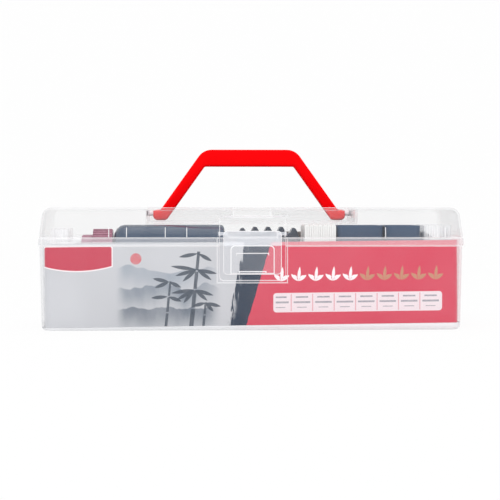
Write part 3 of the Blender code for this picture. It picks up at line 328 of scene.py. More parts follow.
def dress(node, finish):
    """Gives a CAD node that stays its finish."""
    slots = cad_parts[node].data.materials
    slots.clear()
    slots.append(finish.material)


def to_and_fro(layers, reach, pitch, steps=12, bends=7):
    """The middle line of a strip folded to and fro: (along, up) points, with round folds."""
    radius = pitch / 2
    path = []
    for layer in range(layers):
        near, far = (radius, reach - radius) if layer % 2 == 0 else (reach - radius, radius)
        up = pitch * (layer + 0.5)
        path += [(near + (far - near) * i / steps, up) for i in range(steps + 1)]
        if layer < layers - 1:
            side = 1 if far > near else -1
            for i in range(1, bends):
                turn = math.pi * i / bends
                path.append((far + side * radius * math.sin(turn), up + radius * (1 - math.cos(turn))))
    return path


RIPPLES_ACROSS, RIPPLES_UP = 22, 900  # to the metre


def folded_strip(name, path, thickness, width, steps, wander, place, finish):
    """A closed thin strip along a folded middle line, width wide, that wanders a little as cloth does."""
    shape = bmesh.new()
    rings = []
    for step in range(steps + 1):
        across = width * step / steps
        ring = []
        for i, (along, up) in enumerate(path):
            before, after = path[max(i - 1, 0)], path[min(i + 1, len(path) - 1)]
            run, rise = after[0] - before[0], after[1] - before[1]
            size = math.hypot(run, rise)
            drift = wander * noise.noise(Vector((across * RIPPLES_ACROSS, up * RIPPLES_UP, 3.0)))
            for side in (0.5, -0.5):
                ring.append(shape.verts.new(place(
                    along + drift * (1 - thickness / width) - side * thickness * rise / size,
                    up + side * thickness * run / size, across)))
        rings.append(ring)
    count = len(path)
    for near, far in zip(rings, rings[1:]):
        for i in range(count - 1):
            for side in (0, 1):
                a, b = 2 * i + side, 2 * i + 2 + side
                shape.faces.new((near[a], near[b], far[b], far[a]))
        for a, b in ((0, 1), (2 * count - 2, 2 * count - 1)):
            shape.faces.new((near[a], near[b], far[b], far[a]))
    for ring in (rings[0], rings[-1]):
        for i in range(count - 1):
            shape.faces.new((ring[2 * i], ring[2 * i + 1], ring[2 * i + 3], ring[2 * i + 2]))
    bmesh.ops.recalc_face_normals(shape, faces=shape.faces)
    made = mesh_object(name, shape, finish)
    smooth(made)
    return made


# ----- finishes

def clear_plastic(name, colour, face, grazing, shade=1.0, white_bands=()):
    """Clear moulded plastic: a thin skin with painted shade where it is faced (its colour times shade)
    and a painted white reflection where it is seen edge on.

    face and grazing say how much the skin hides, faced and edge on. white_bands lists (low, high, more, slope):
    between those heights, which climb to the right by that slope, it hides that much more and turns white."""
    made = Finish(name, IOR=1.49)
    cloud = made.noise(45.0, 3.0)
    flow = made.noise(160.0, x=0.15)
    edge_on = made.node("ShaderNodeLayerWeight", None, 0.5, output="Facing") ** 2.6
    # Painted reflection: edge on, the skin hides more of what is behind it, and its colour turns white below.
    haze_and_painted_glare = face + (grazing - face) * edge_on + 0.03 * (cloud - 0.5)
    pale = edge_on.rise(0.0, 0.3)
    for low, high, more, slope in white_bands:
        across, _, up = made.axes()
        band = (up - across * slope).between(low, high, 0.2 * MM)
        haze_and_painted_glare, pale = haze_and_painted_glare + more * band, pale.most(band)
    white = made.mix(cloud, colour, shaded(colour, 0.94))
    # Painted shade where the skin is faced, and a painted white reflection where it is seen edge on.
    made.set(
        Base_Color=made.mix(pale, shaded(colour, shade), white),
        Roughness=0.10 + 0.06 * flow,
        Alpha=haze_and_painted_glare.least(1.0).most(0.0),
    )
    return made.bump(cloud, 0.05 * MM, 0.25)


def moulded(name, colour, roughness=0.35, specular=0.5, grain=900.0, depth=0.01, wear=0.06):
    """Opaque moulded plastic with a fine skin and a little unevenness of colour."""
    made = Finish(name, specular)
    skin = made.noise(grain)
    patch = made.noise(38.0, 3.0)
    made.set(
        Base_Color=made.mix(patch, shaded(colour, 1 + wear), shaded(colour, 1 - wear)),
        Roughness=roughness + 0.14 * (patch - 0.5) + 0.06 * (skin - 0.5),
    )
    return made.bump(skin, depth * MM, 0.6)


def handle_plastic(name, colour):
    """Satin red plastic, paler on the pivot stubs, with painted shade at their ends."""
    made = moulded(name, colour, 0.5, 0.03, grain=500.0, wear=0.015)
    across = abs(made.axes()[0])
    stub = across.rise(STUB_X - 0.2 * MM, STUB_X + 0.2 * MM)
    # Painted shade: the ends of the pivot stubs are dark.
    painted_end_shade = across.rise(STUB_X + 2.8 * MM, STUB_X + 3.2 * MM)
    plain = Field(made, made.shader.inputs["Base Color"].links[0].from_socket)
    rubbed = made.mix(stub, plain, paint(252, 236, 240))
    return made.set(Base_Color=made.mix(painted_end_shade, rubbed, paint(96, 84, 88)))


def stained_cane(colour):
    """Dark-stained polished cane: fine lengthwise grain and a faint ring at each joint."""
    made = Finish("stained cane", 0.45, Coat_Weight=0.25, Coat_Roughness=0.2)
    grain = made.noise(1500.0, 3.0, x=0.02)
    patch = made.noise(60.0, x=0.3)
    spacing = 61 * MM
    ring = abs((made.axes()[0] + 0.013) % spacing - spacing / 2).rise(1.1 * MM, 0.4 * MM)
    tone = (0.55 * grain + 0.45 * patch).rise(0.3, 0.7)
    wood = made.mix(tone, shaded(colour, 0.65), shaded(colour, 1.7))
    made.set(
        Base_Color=made.mix(0.6 * ring, wood, shaded(colour, 0.4)),
        Roughness=0.3 + 0.18 * grain,
    )
    return made.bump(0.25 * grain + ring, 0.12 * MM, 0.6)


def polished_horn():
    """Dark horn with brown clouds, polished."""
    made = Finish("polished horn")
    cloud = made.noise(180.0, 4.0, x=0.3)
    made.set(Base_Color=made.mix(cloud, paint(20, 20, 23), paint(58, 54, 52)), Roughness=0.14 + 0.16 * cloud)
    return made.bump(cloud, 0.02 * MM, 0.4)


def stiff_hair():
    """Sized brush hair, pale at the root and browner at the point."""
    made = Finish("brush hair", 0.3)
    strand = made.noise(3200.0, x=0.02)
    patch = made.noise(90.0, x=0.4)
    pale = made.mix(strand, paint(196, 174, 134), paint(242, 232, 206))
    made.set(
        Base_Color=made.mix(patch.rise(0.45, 0.75), pale, paint(178, 138, 92)),
        Roughness=0.5 + 0.2 * strand,
    )
    return made.bump(strand, 0.03 * MM, 0.6)


def wool_felt():
    """Pressed wool felt: matted fibres with a few darker ones."""
    made = Finish("wool felt", 0.15, Roughness=0.95, Sheen_Weight=0.25, Sheen_Roughness=0.5)
    mat = made.noise(900.0, 5.0)
    cloud = made.noise(60.0, 3.0)
    hairs = made.noise(2600.0, x=0.25).rise(0.66, 0.74)
    wool = made.mix(mat, paint(228, 226, 220), paint(248, 247, 242))
    wool = made.mix(0.3 * cloud, wool, paint(222, 219, 212))
    made.set(Base_Color=made.mix(0.5 * hairs, wool, paint(150, 148, 142)))
    return made.bump(mat + 0.4 * hairs, 0.25 * MM, 0.7)


def soft_paper():
    """Unsized writing paper, warm white with long fibres."""
    made = Finish("soft paper", 0.2, Roughness=0.9)
    fibre = made.noise(1700.0, 3.0, x=0.2)
    cloud = made.noise(35.0)
    made.set(Base_Color=made.mix(0.5 * fibre + 0.5 * cloud, paint(238, 234, 222), paint(226, 220, 204)))
    return made.bump(fibre, 0.03 * MM, 0.5)


def plain_weave():
    """Pale plain-woven cloth, 0.36 mm from one warp or weft wave to the next."""
    made = Finish("plain weave", 0.2, Roughness=0.88, Sheen_Weight=0.2, Sheen_Roughness=0.4)
    _, y, z = made.axes()
    thread = 2 * math.pi / (0.36 * MM)
    warp, weft = (y * thread).sine(), (z * thread).sine()
    over = (warp * weft).rise(-0.4, 0.4)
    slub = made.noise(240.0, 3.0, y=0.3)
    made.set(Base_Color=made.mix(0.5 * over + 0.5 * slub, paint(236, 236, 234), paint(254, 254, 252)))
    return made.bump(over + 0.5 * slub, 0.06 * MM, 0.7)


def steel():
    """Drawn steel wire, with fine lines along it."""
    made = Finish("drawn steel wire", Metallic=1.0)
    lines = made.noise(1800.0, x=0.02)
    made.set(
        Base_Color=made.mix(lines, paint(198, 200, 204), paint(168, 170, 176)),
        Roughness=0.24 + 0.16 * lines,
    )
    return made.bump(lines, 0.01 * MM, 0.5)


# ----- settings

def colour_setting(name, description, default):
    """A colour that a user can change."""
    return bpy.props.FloatVectorProperty(
        name=name, description=description, size=3, subtype="COLOR", min=0.0, max=1.0, default=default)


def length_setting(name, description, default, least=0.0):
    """A length in metres that a user can change."""
    return bpy.props.FloatProperty(
        name=name, description=description, default=default, min=least, unit="LENGTH", subtype="DISTANCE")


class CaseSettings(bpy.types.PropertyGroup):
    """Colours and edge sizes of the case and its handle."""

    plastic: colour_setting("Clear plastic", "Tint of the clear mouldings", paint(249, 250, 253))
    haze: bpy.props.FloatProperty(
        name="Wall haze", description="How much of each skin of the clear walls hides what is behind",
        default=0.038, min=0.0, max=1.0, subtype="FACTOR")
    edge: length_setting("Edge rounding", "Width of the rounded edges of the clear mouldings", 0.4 * MM)
    handle: colour_setting("Handle", "Colour of the moulded handle", paint(252, 2, 8))
    handle_edge: length_setting("Handle edge", "Width of the handle's rounded edges", 0.8 * MM)


class CardSettings(bpy.types.PropertyGroup):
    """Inks of the printed card."""

    red: colour_setting("Red ink", "Ground of the right part and of the plaque", paint(215, 60, 86))
    slate: colour_setting("Slate ink", "The slanted brushed band", paint(14, 40, 64))
    paper: colour_setting("Pale ground", "Ground of the left part", paint(200, 201, 205))


class SetSettings(bpy.types.PropertyGroup):
    """Colours of the writing set inside the case."""

    bottle: colour_setting("Bottle", "Colour of the ink bottle", paint(30, 58, 86))
    cap: colour_setting("Cap", "Colour of the bottle's screw cap", paint(158, 92, 116))
    slate: colour_setting("Dishes", "Colour of the two dishes", paint(38, 66, 96))
    cane: colour_setting("Cane", "Stain of the brush shafts", paint(58, 44, 38))


class StageSettings(bpy.types.PropertyGroup):
    """Camera and light."""

    distance: length_setting("Camera distance", "From the camera to the front of the case", 1.2, least=0.3)
    lens: bpy.props.FloatProperty(
        name="Lens", description="Focal length", default=115.0, min=20.0, unit="CAMERA")
    yaw: bpy.props.FloatProperty(
        name="Camera yaw", description="How far left of the front the camera stands",
        default=math.radians(2.4), subtype="ANGLE")
    daylight: bpy.props.FloatProperty(
        name="Daylight", description="Strength of the even light from all round", default=0.78, min=0.0)


SETTINGS = {
    "writing_case": CaseSettings, "writing_card": CardSettings, "writing_set": SetSettings,
    "writing_stage": StageSettings,
}


# ----- operators

class WRITINGBOX_OT_stage(bpy.types.Operator):
    """Makes the pale floor and backdrop, the soft lamps and the camera"""

    bl_idname = "writingbox.stage"
    bl_label = "Stage"

    floor_front, floor_back, floor_half = -3.2, 1.6, 3.0
    wall_height, sweep, sweep_steps = 2.6, 0.6, 12
    backdrop_white = 0.94
    lamps = (  # name, place, size, power
        ("key lamp", (-0.9, -1.5, 1.1), 1.1, 9.0),
        ("fill lamp", (1.2, -1.4, 0.7), 1.0, 5.0),
        ("top lamp", (0.1, 0.35, 1.6), 1.2, 4.0),
    )
    film_width, nearest = 36.0, 0.05

    def execute(self, context):
        settings = context.scene.writing_stage
        self.floor()
        self.daylight(context.scene, settings.daylight)
        for lamp in self.lamps:
            self.lamp(*lamp)
        self.camera(context.scene, settings)
        context.scene.view_settings.view_transform = "Standard"
        return {"FINISHED"}

    def floor(self):
        """One sheet that lies under the box and sweeps up behind it."""
        profile = [(self.floor_front, 0.0)]
        for i in range(self.sweep_steps + 1):
            turn = math.pi / 2 * i / self.sweep_steps
            profile.append((
                self.floor_back - self.sweep + self.sweep * math.sin(turn),
                self.sweep - self.sweep * math.cos(turn),
            ))
        profile.append((self.floor_back, self.wall_height))
        shape = bmesh.new()
        rows = [[shape.verts.new((side * self.floor_half, y, z)) for side in (-1, 1)] for y, z in profile]
        for low, high in zip(rows, rows[1:]):
            shape.faces.new((low[0], low[1], high[1], high[0]))
        paper = Finish("backdrop paper", 0.1, Roughness=0.9)
        tooth = paper.noise(700.0)
        paper.set(Base_Color=paper.mix(tooth, (0.90, 0.90, 0.90), (0.93, 0.93, 0.93)))
        paper.bump(tooth, 0.05 * MM, 0.3)
        seen = self.seen_rays(paper) * self.backdrop_white
        white = paper.node("ShaderNodeEmission", None, (1.0, 1.0, 1.0), 1.0)
        body = Field(paper, paper.shader.outputs[0])
        paper.close("OUTPUT_MATERIAL", seen, body, white)
        made = mesh_object("backdrop", shape, paper)
        made.data.shade_smooth()

    @staticmethod
    def seen_rays(sheet):
        """1 for the rays that show the background: straight, mirrored, or through clear stuff."""
        straight, mirrored, through = (
            sheet.node("ShaderNodeLightPath", output=f"Is {kind} Ray")
            for kind in ("Camera", "Glossy", "Transmission")
        )
        return straight.most(mirrored).most(through)

    def daylight(self, scene, strength):
        """Even light from all round, seen as white where nothing stands before it."""
        world = bpy.data.worlds.new("even daylight")
        world.use_nodes = True
        scene.world = world
        sky = NodeSheet(world.node_tree)
        lit = sky.node("ShaderNodeBackground", None, (0.985, 0.99, 1.0), strength)
        seen = sky.node("ShaderNodeBackground", None, (1.0, 1.0, 1.0), 1.0)
        sky.close("OUTPUT_WORLD", self.seen_rays(sky), lit, seen)

    @staticmethod
    def aimed(name, data, eye, target):
        """A lamp or camera that stands at the eye and looks at the target."""
        made = new_object(name, data)
        made.location = eye
        made.rotation_mode = "QUATERNION"
        made.rotation_quaternion = (target - eye).to_track_quat("-Z", "Y")
        return made

    def lamp(self, name, place, size, power):
        """A square soft lamp that looks at the middle of the box."""
        light = bpy.data.lights.new(name, "AREA")
        light.size, light.energy = size, power
        self.aimed(name, light, Vector(place), (CAD_BOX[0] + CAD_BOX[1]) / 2)

    def camera(self, scene, settings):
        """The photograph's view: level with the lid's top, a little to the left of the front."""
        lens = bpy.data.cameras.new("camera")
        lens.lens, lens.sensor_width, lens.clip_start = settings.lens, self.film_width, self.nearest
        away = Vector((-math.sin(settings.yaw), -math.cos(settings.yaw), 0.0)) * settings.distance
        eye = CAMERA_AIM + away
        eye.z = EYE_HEIGHT
        scene.camera = self.aimed("camera", lens, eye, CAMERA_AIM)


class WRITINGBOX_OT_case(bpy.types.Operator):
    """Makes the clear lid with its ribs, the base and the latch, with painted highlights along their rounded
    edges
    """

    bl_idname = "writingbox.case"
    bl_label = "Clear case"

    rib_places = tuple(x * MM for x in (-107.0, -93.8, -65.0, -49.0, 99.9, 133.0, 139.0, 145.0))
    rib_foot, rib_root = 0.7 * MM, 0.3 * MM
    wall_thickness, wall_lean = 1.6 * MM, 0.153

    def execute(self, context):
        settings = context.scene.writing_case
        plastic, haze = settings.plastic, settings.haze
        past = 5 * MM
        rim_band = (RIM_BAND_Z, BASE_HIGH.z + past, 0.15, 0.0)
        # Painted light: below the card's tilted lower edge the base wall turns near-opaque white, painted over
        # the shade under the card.
        foot_band = (BASE_LOW.z - past, CARD_LOW.z + CARD_HIGH.x * CARD_TILT, 0.7, CARD_TILT)
        latch_band = (LATCH_PANEL_Z, LATCH_HIGH.z + past, 0.3, 0.0)
        bluish = (0.96 * plastic[0], 0.975 * plastic[1], plastic[2])
        # Painted shade: the lid's skin is darker than the base's (shade 0.62 against 0.85), and the latch's is
        # not darkened.
        lid_wall = clear_plastic("clear lid wall", plastic, haze + 0.012, 0.5, shade=0.62)
        base_wall = clear_plastic(
            "clear base wall", plastic, haze, 0.5, shade=0.85, white_bands=(rim_band, foot_band))
        latch_wall = clear_plastic("clear latch wall", bluish, haze + 0.02, 0.5, white_bands=(latch_band,))
        # Painted highlights: near-opaque white for the rounded edge strips and the lid's ribs, where moulded
        # edges catch the light.
        rim = clear_plastic("clear case edge", paint(254, 254, 255), 0.55, 0.85)
        latch_edge_highlight = clear_plastic("clear latch edge", paint(254, 254, 255), 0.85, 0.95)
        catch = (
            (LATCH_LOW.x + 1 * MM, BASE_LOW.y, LATCH_PANEL_Z - 10 * MM),
            (LATCH_HIGH.x - 1 * MM, LATCH_HIGH.y + 2.2 * MM, LATCH_PANEL_Z - 0.5 * MM),
        )
        pivots = tuple(
            ((middle - 5 * MM, LATCH_LOW.y - 1 * MM, LATCH_HIGH.z - 8 * MM),
             (middle + 5 * MM, LATCH_HIGH.y + 6 * MM, LATCH_HIGH.z + 5 * MM))
            for middle in (LATCH_LOW.x - 4 * MM, LATCH_HIGH.x + 4 * MM))
        for body, node, wall, edge, kept in (
            ("lid", "lid_shell", lid_wall, rim, pivots),
            ("base", "base_tray", base_wall, rim, (catch,)),
            ("latch", "latch_plate", latch_wall, latch_edge_highlight, pivots),
        ):
            softened(f"clear_{body}", node, body, "clear_case", settings.edge, wall, edge, keep_sharp=kept)
        # The ribs are drawn whole in the painted edge highlight.
        self.ribs(rim)
        return {"FINISHED"}

    def ribs(self, finish):
        """Upright ribs inside the lid's front wall, which leans back as it rises."""
        ribs = Growth(
            "lid ribs", Thickness=0.6 * MM, Reach=1.6 * MM, Height=7.3 * MM,
            Foot=BASE_HIGH.z + self.rib_foot, Wall=LID_LOW.y + self.wall_thickness - self.rib_root)
        size = ribs.vector(ribs["Thickness"], ribs["Reach"], ribs["Height"])
        rib = ribs.node("GeometryNodeMeshCube", None, size, 2, 2, 6)
        up = ribs["Foot"] + ribs["Height"] / 2
        back = ribs["Wall"] + ribs["Reach"] / 2 + (up - BASE_HIGH.z) * self.wall_lean
        lean = (-math.atan(self.wall_lean), 0.0, 0.0)
        copies = [
            ribs.node(
                "GeometryNodeTransform", None, rib, Translation=ribs.vector(place, back, up), Rotation=lean)
            for place in self.rib_places
        ]
        row = ribs.node("GeometryNodeJoinGeometry", None, copies)
        settle(ribs.end(row, finish).grow("lid_ribs"), "lid", "clear_case")


class WRITINGBOX_OT_pins(bpy.types.Operator):
    """Finishes the two hinge pins as drawn steel wire"""

    bl_idname = "writingbox.pins"
    bl_label = "Hinge pins"

    def execute(self, context):
        pins = steel()
        for node in ("hinge_pin_left", "hinge_pin_right"):
            dress(node, pins)
        return {"FINISHED"}


class WRITINGBOX_OT_handle(bpy.types.Operator):
    """Makes the red moulded handle with its rounded edges"""

    bl_idname = "writingbox.handle"
    bl_label = "Handle"

    def execute(self, context):
        settings = context.scene.writing_case
        red = handle_plastic("red handle plastic", settings.handle)
        # Painted shade: the handle's rounded edges take a darker red.
        rim = handle_plastic("red handle edge", paint(214, 4, 12))
        softened("red_handle", "handle", "handle", "red_handle", settings.handle_edge, red, rim, steps=3)
        return {"FINISHED"}


class WRITINGBOX_OT_card(bpy.types.Operator):
    """Prints the card that lines the base: a pale ground, a slanted brushed band and a red ground"""

    bl_idname = "writingbox.card"
    bl_label = "Printed card"

    def execute(self, context):
        settings = context.scene.writing_card
        dress("card_sleeve", card_print(settings.paper, settings.slate, settings.red))
        return {"FINISHED"}


BAND_LEFT = ((-7.3 * MM, 60.9 * MM), (-19.2 * MM, 2.8 * MM))
BAND_RIGHT = ((13.0 * MM, 62.3 * MM), (-4.7 * MM, 3.0 * MM))
PLAQUE = (-156.0 * MM, -104.2 * MM, 49.4 * MM, 64.6 * MM)
PLATE = (15.8 * MM, 143.0 * MM, 13.1 * MM, 27.6 * MM)
PLATE_RULES = (29.2 * MM, 16.17 * MM)
HILLS_X = (-103 * MM, -22 * MM)
HILL_RANGES = (  # height, swing, peaks to the metre, shift along, ink
    (47 * MM, 26 * MM, 26.0, 0.31, paint(150, 160, 172)),
    (33 * MM, 32 * MM, 34.0, 0.85, paint(112, 124, 138)),
    (17 * MM, 24 * MM, 40.0, 1.70, paint(78, 92, 108)),
)
STEM_X = -46 * MM
STEM_LEAN = 0.10
STEM_JOINTS = (  # mm right of the first stem, foot and top of the joint, half its thickness
    (0, 3, 17, 1.7), (0, 17, 31, 1.5), (0, 31, 45, 1.35), (0, 45, 60, 1.2),
    (-19, 3, 14, 1.1), (-19, 14, 26, 1.0), (-19, 26, 38, 0.9), (9, 3, 12, 1.0), (9, 12, 22, 0.9),
)
STEM_LEAVES = (  # mm right of the first stem's foot and up, turn in degrees, length in mm
    (2.6, 31, -150, 16), (2.8, 31, -172, 18), (2.4, 31, -128, 13), (3.0, 31, -18, 15), (3.0, 31, -42, 13),
    (4.4, 46, 172, 20), (4.4, 46, -164, 17), (4.4, 46, -140, 14), (4.4, 46, -12, 16), (4.4, 46, -36, 14),
    (5.6, 58, -170, 15), (5.6, 58, -30, 12), (-16, 37, 168, 13), (-16, 37, -158, 12), (-16, 37, -26, 10),
    (-17, 26, -176, 13), (-17, 26, -20, 11), (11, 21, -14, 12), (11, 21, -166, 10), (11, 21, -48, 9),
)
SUN, SUN_SIZE = (-87 * MM, 54.5 * MM), 4.2 * MM
SPRIGS_X, SPRIGS_Z, SPRIG_COUNT = (15.8 * MM, 144.8 * MM), 36.0 * MM, 10
SPRIGS_TAN_X = 80.3 * MM
PLATE_DASHES = (  # height from the plate's middle, half thickness, half length as a share of the cell
    (4.1 * MM, 0.75 * MM, 0.30), (0.2 * MM, 0.85 * MM, 0.40), (-3.6 * MM, 0.45 * MM, 0.24),
)
SPRIG_LEAVES = (  # mm across and up from the sprig's foot, turn in degrees, length in mm
    (-0.6, 0.0, 84, 11.5), (-0.4, 0.4, 38, 7.6), (-0.8, 0.4, 134, 7.6),
    (0.2, 3.0, 12, 5.4), (-1.2, 3.2, 164, 5.0),
)


def slanted(x, z, line):
    """How far a point lies to the right of the slanted line through two points."""
    (x_high, z_high), (x_low, z_low) = line
    slope = (x_high - x_low) / (z_high - z_low)
    return x - (x_low + slope * (z - z_low))


def rounded_box(x, z, box, radius, blur=0.25 * MM):
    """1 inside a box with rounded corners."""
    left, right, low, high = box
    across = abs(x - (left + right) / 2) - ((right - left) / 2 - radius)
    up = abs(z - (low + high) / 2) - ((high - low) / 2 - radius)
    reach = (across.most(0.0) ** 2 + up.most(0.0) ** 2) ** 0.5
    return reach.rise(radius + blur, radius - blur)


def card_print(paper, slate, red):
    """Varnished card, printed on the outside and plain white on the inside."""
    made = Finish("printed card", 0.22)
    x, y, height = made.axes()
    z = height - x * CARD_TILT
    soft = made.noise(14.0)
    fibre = made.noise(2600.0, 3.0)
    ground = made.mix(soft.rise(0.3, 0.7), shaded(paper, 0.97), shaded(paper, 1.06))

    bristle = made.noise(420.0, 4.0, y=0.3, z=0.16, turn=(0.0, math.radians(-13), 0.0))
    ragged = made.noise(180.0, 3.0)
    into_band = slanted(x, z, BAND_LEFT) + (ragged - 0.5) * 3.5 * MM
    band = into_band.rise(-0.3 * MM, 0.5 * MM)
    streak = bristle.rise(0.52, 0.60) * into_band.rise(5.5 * MM, 0.5 * MM)
    band = band * (1 - streak)
    slate_ink = made.mix(bristle, shaded(slate, 0.85), shaded(slate, 1.25))
    into_red = slanted(x, z, BAND_RIGHT) + (made.noise(260.0, 3.0) - 0.5) * 1.6 * MM
    red_ink = made.mix(soft, shaded(red, 1.05), shaded(red, 0.94))
    printed = made.mix(band, ground, slate_ink)
    printed = made.mix(into_red.rise(-0.2 * MM, 0.4 * MM), printed, red_ink)

    front = y.rise(CARD_LOW.y + 11 * MM, CARD_LOW.y + 9 * MM)
    left, right, low, high = PLAQUE
    sag = ((x - (left + right) / 2) / ((right - left) / 2)) ** 2
    rim_box = (left, right, low - 6 * MM, high)
    under = z - (low - 3.6 * MM * (1 - sag))
    rim = rounded_box(x, z, rim_box, 2.0 * MM) * under.rise(-0.9 * MM, -0.5 * MM) * front
    core_box = (left + 0.8 * MM, right - 0.8 * MM, low - 6 * MM, high - 0.8 * MM)
    core = rounded_box(x, z, core_box, 1.6 * MM) * under.rise(0.0, 0.4 * MM) * front
    printed = made.mix(rim, printed, paint(250, 238, 240))
    printed = made.mix(core, printed, shaded(red, 0.84))

    for layer in (ink_hills, sprigs, contents_plate):
        printed = layer(made, printed, x, z, front)
    level = x + (height - (CARD_LOW.z + CARD_HIGH.z) / 2) * CARD_TILT
    end = CARD_HIGH.x - (CARD_HIGH.z - CARD_LOW.z) / 2 * CARD_TILT - CARD_HALF
    side = CARD_HIGH.y - CARD_HALF
    lining = rounded_box(level, y, (-end, end, -side, side), CARD_CORNER - CARD_HALF, 0.1 * MM)
    made.set(
        Base_Color=made.mix(lining, printed, paint(236, 236, 232)),
        Roughness=0.34 + 0.2 * (fibre - 0.5),
    )
    return made.bump(fibre, 0.015 * MM, 0.5)


def leaf(x, z, foot, row, width):
    """1 inside a pointed leaf, whose row says where it starts from a foot, its turn and its length."""
    right, up, turn, length = row
    start_x, start_z = foot[0] + right * MM, foot[1] + up * MM
    cos, sin = math.cos(math.radians(turn)), math.sin(math.radians(turn))
    along = ((x - start_x) * cos + (z - start_z) * sin) / (length * MM)
    across = abs((z - start_z) * cos - (x - start_x) * sin)
    return (along * (1 - along) * 2 * width - across).rise(-0.05 * MM, 0.25 * MM)


def ink_hills(made, printed, x, z, front):
    """A landscape in grey washes: a pale red sun, ranges of hills in mist and stems of bamboo."""
    left, right = HILLS_X
    inside = x.rise(left, left + 9 * MM) * x.rise(right, right - 14 * MM) * front
    from_sun = ((x - SUN[0]) ** 2 + (z - SUN[1]) ** 2) ** 0.5
    disc = from_sun.rise(SUN_SIZE + 0.3 * MM, SUN_SIZE - 0.3 * MM) * (0.45 + 0.6 * made.noise(240.0, 3.0))
    printed = made.mix((disc * front).least(1.0), printed, paint(214, 74, 84))
    for base, swing, scale, shift, tone in HILL_RANGES:
        crest = made.noise(scale, 3.0, y=0.0, z=0.0, shift=(shift, 0.0, 0.0))
        top = base + swing * (crest - 0.5)
        below = top - z
        wash = below.rise(-0.3 * MM, 0.7 * MM) * below.rise(22 * MM, 2 * MM)
        damp = 0.55 + 0.9 * (made.noise(70.0, 4.0, z=0.4, shift=(shift, 0.0, 0.0)) - 0.35)
        printed = made.mix((wash * damp * inside).least(1.0).most(0.0), printed, tone)
    dark = paint(52, 64, 78)
    dry = (0.62 + 0.5 * made.noise(900.0, z=0.12)) * front
    for across, low, high, half in STEM_JOINTS:
        lean = abs(x - z * STEM_LEAN - (STEM_X + across * MM))
        joint = lean.rise((half + 0.15) * MM, (half - 0.25) * MM)
        joint = joint * z.between((low + 0.55) * MM, (high - 0.55) * MM, 0.25 * MM)
        printed = made.mix((joint * dry).least(1.0), printed, dark)
    for row in STEM_LEAVES:
        shade = leaf(x, z, (STEM_X, 0.0), row, 3.0 * MM)
        printed = made.mix(shade * front * 0.9, printed, dark)
    return printed


def sprigs(made, printed, x, z, front):
    """A running row of small leaf sprigs above the plate, white and then tan."""
    left, right = SPRIGS_X
    cell = (right - left) / SPRIG_COUNT
    along = (x - left) % cell - cell / 2
    inside = x.between(left, right, 0.1 * MM) * front
    tan = x.rise(SPRIGS_TAN_X - 0.1 * MM, SPRIGS_TAN_X + 0.1 * MM)
    ink = made.mix(tan, paint(252, 244, 246), paint(196, 138, 108))
    worn = 0.8 + 0.35 * made.noise(600.0, 3.0)
    for row in SPRIG_LEAVES:
        shade = leaf(along, z, (0.0, SPRIGS_Z), row, 2.5 * MM)
        printed = made.mix((shade * inside * worn).least(1.0), printed, ink)
    return printed


def contents_plate(made, printed, x, z, front):
    """A white plate with eight ruled cells, each with three plain grey dashes."""
    left, right, low, high = PLATE
    up = z - (low + high) / 2
    plate = rounded_box(x, z, PLATE, 2.4 * MM) * front
    first, cell = PLATE_RULES
    along = (x - first) % cell
    off_middle = abs(along - cell / 2)
    rule = off_middle.rise(cell / 2 - 0.45 * MM, cell / 2 - 0.15 * MM)
    rule = rule * x.between(left + 2.5 * MM, right - 2.5 * MM, 0.5 * MM) * abs(up).rise(6.6 * MM, 6.2 * MM)
    inked = made.mix(plate, printed, paint(240, 226, 230))
    inked = made.mix(rule * plate, inked, paint(226, 150, 160))
    worn = 0.45 + 0.5 * made.noise(700.0)
    past_edge = x.rise(left + 1.6 * MM, left + 2.0 * MM)
    for height, half, share in PLATE_DASHES:
        row = abs(up - height).rise(half, half - 0.3 * MM)
        dash = off_middle.rise(cell * share, cell * share - 0.4 * MM) * past_edge
        inked = made.mix(row * dash * worn * plate, inked, paint(120, 128, 138))
    return inked


class WRITINGBOX_OT_tray(bpy.types.Operator):
    """Makes the clear formed tray"""

    bl_idname = "writingbox.tray"
    bl_label = "Tray"

    def execute(self, context):
        film = clear_plastic("clear tray film", paint(240, 240, 244), 0.15, 0.6)
        # Painted highlight: the tray's rounded edges take a near-opaque white.
        edge = clear_plastic("clear tray edge", paint(250, 250, 252), 0.5, 0.8)
        softened("clear_tray", "inner_tray", "base", "clear_film", 0.3 * MM, film, edge)
        return {"FINISHED"}


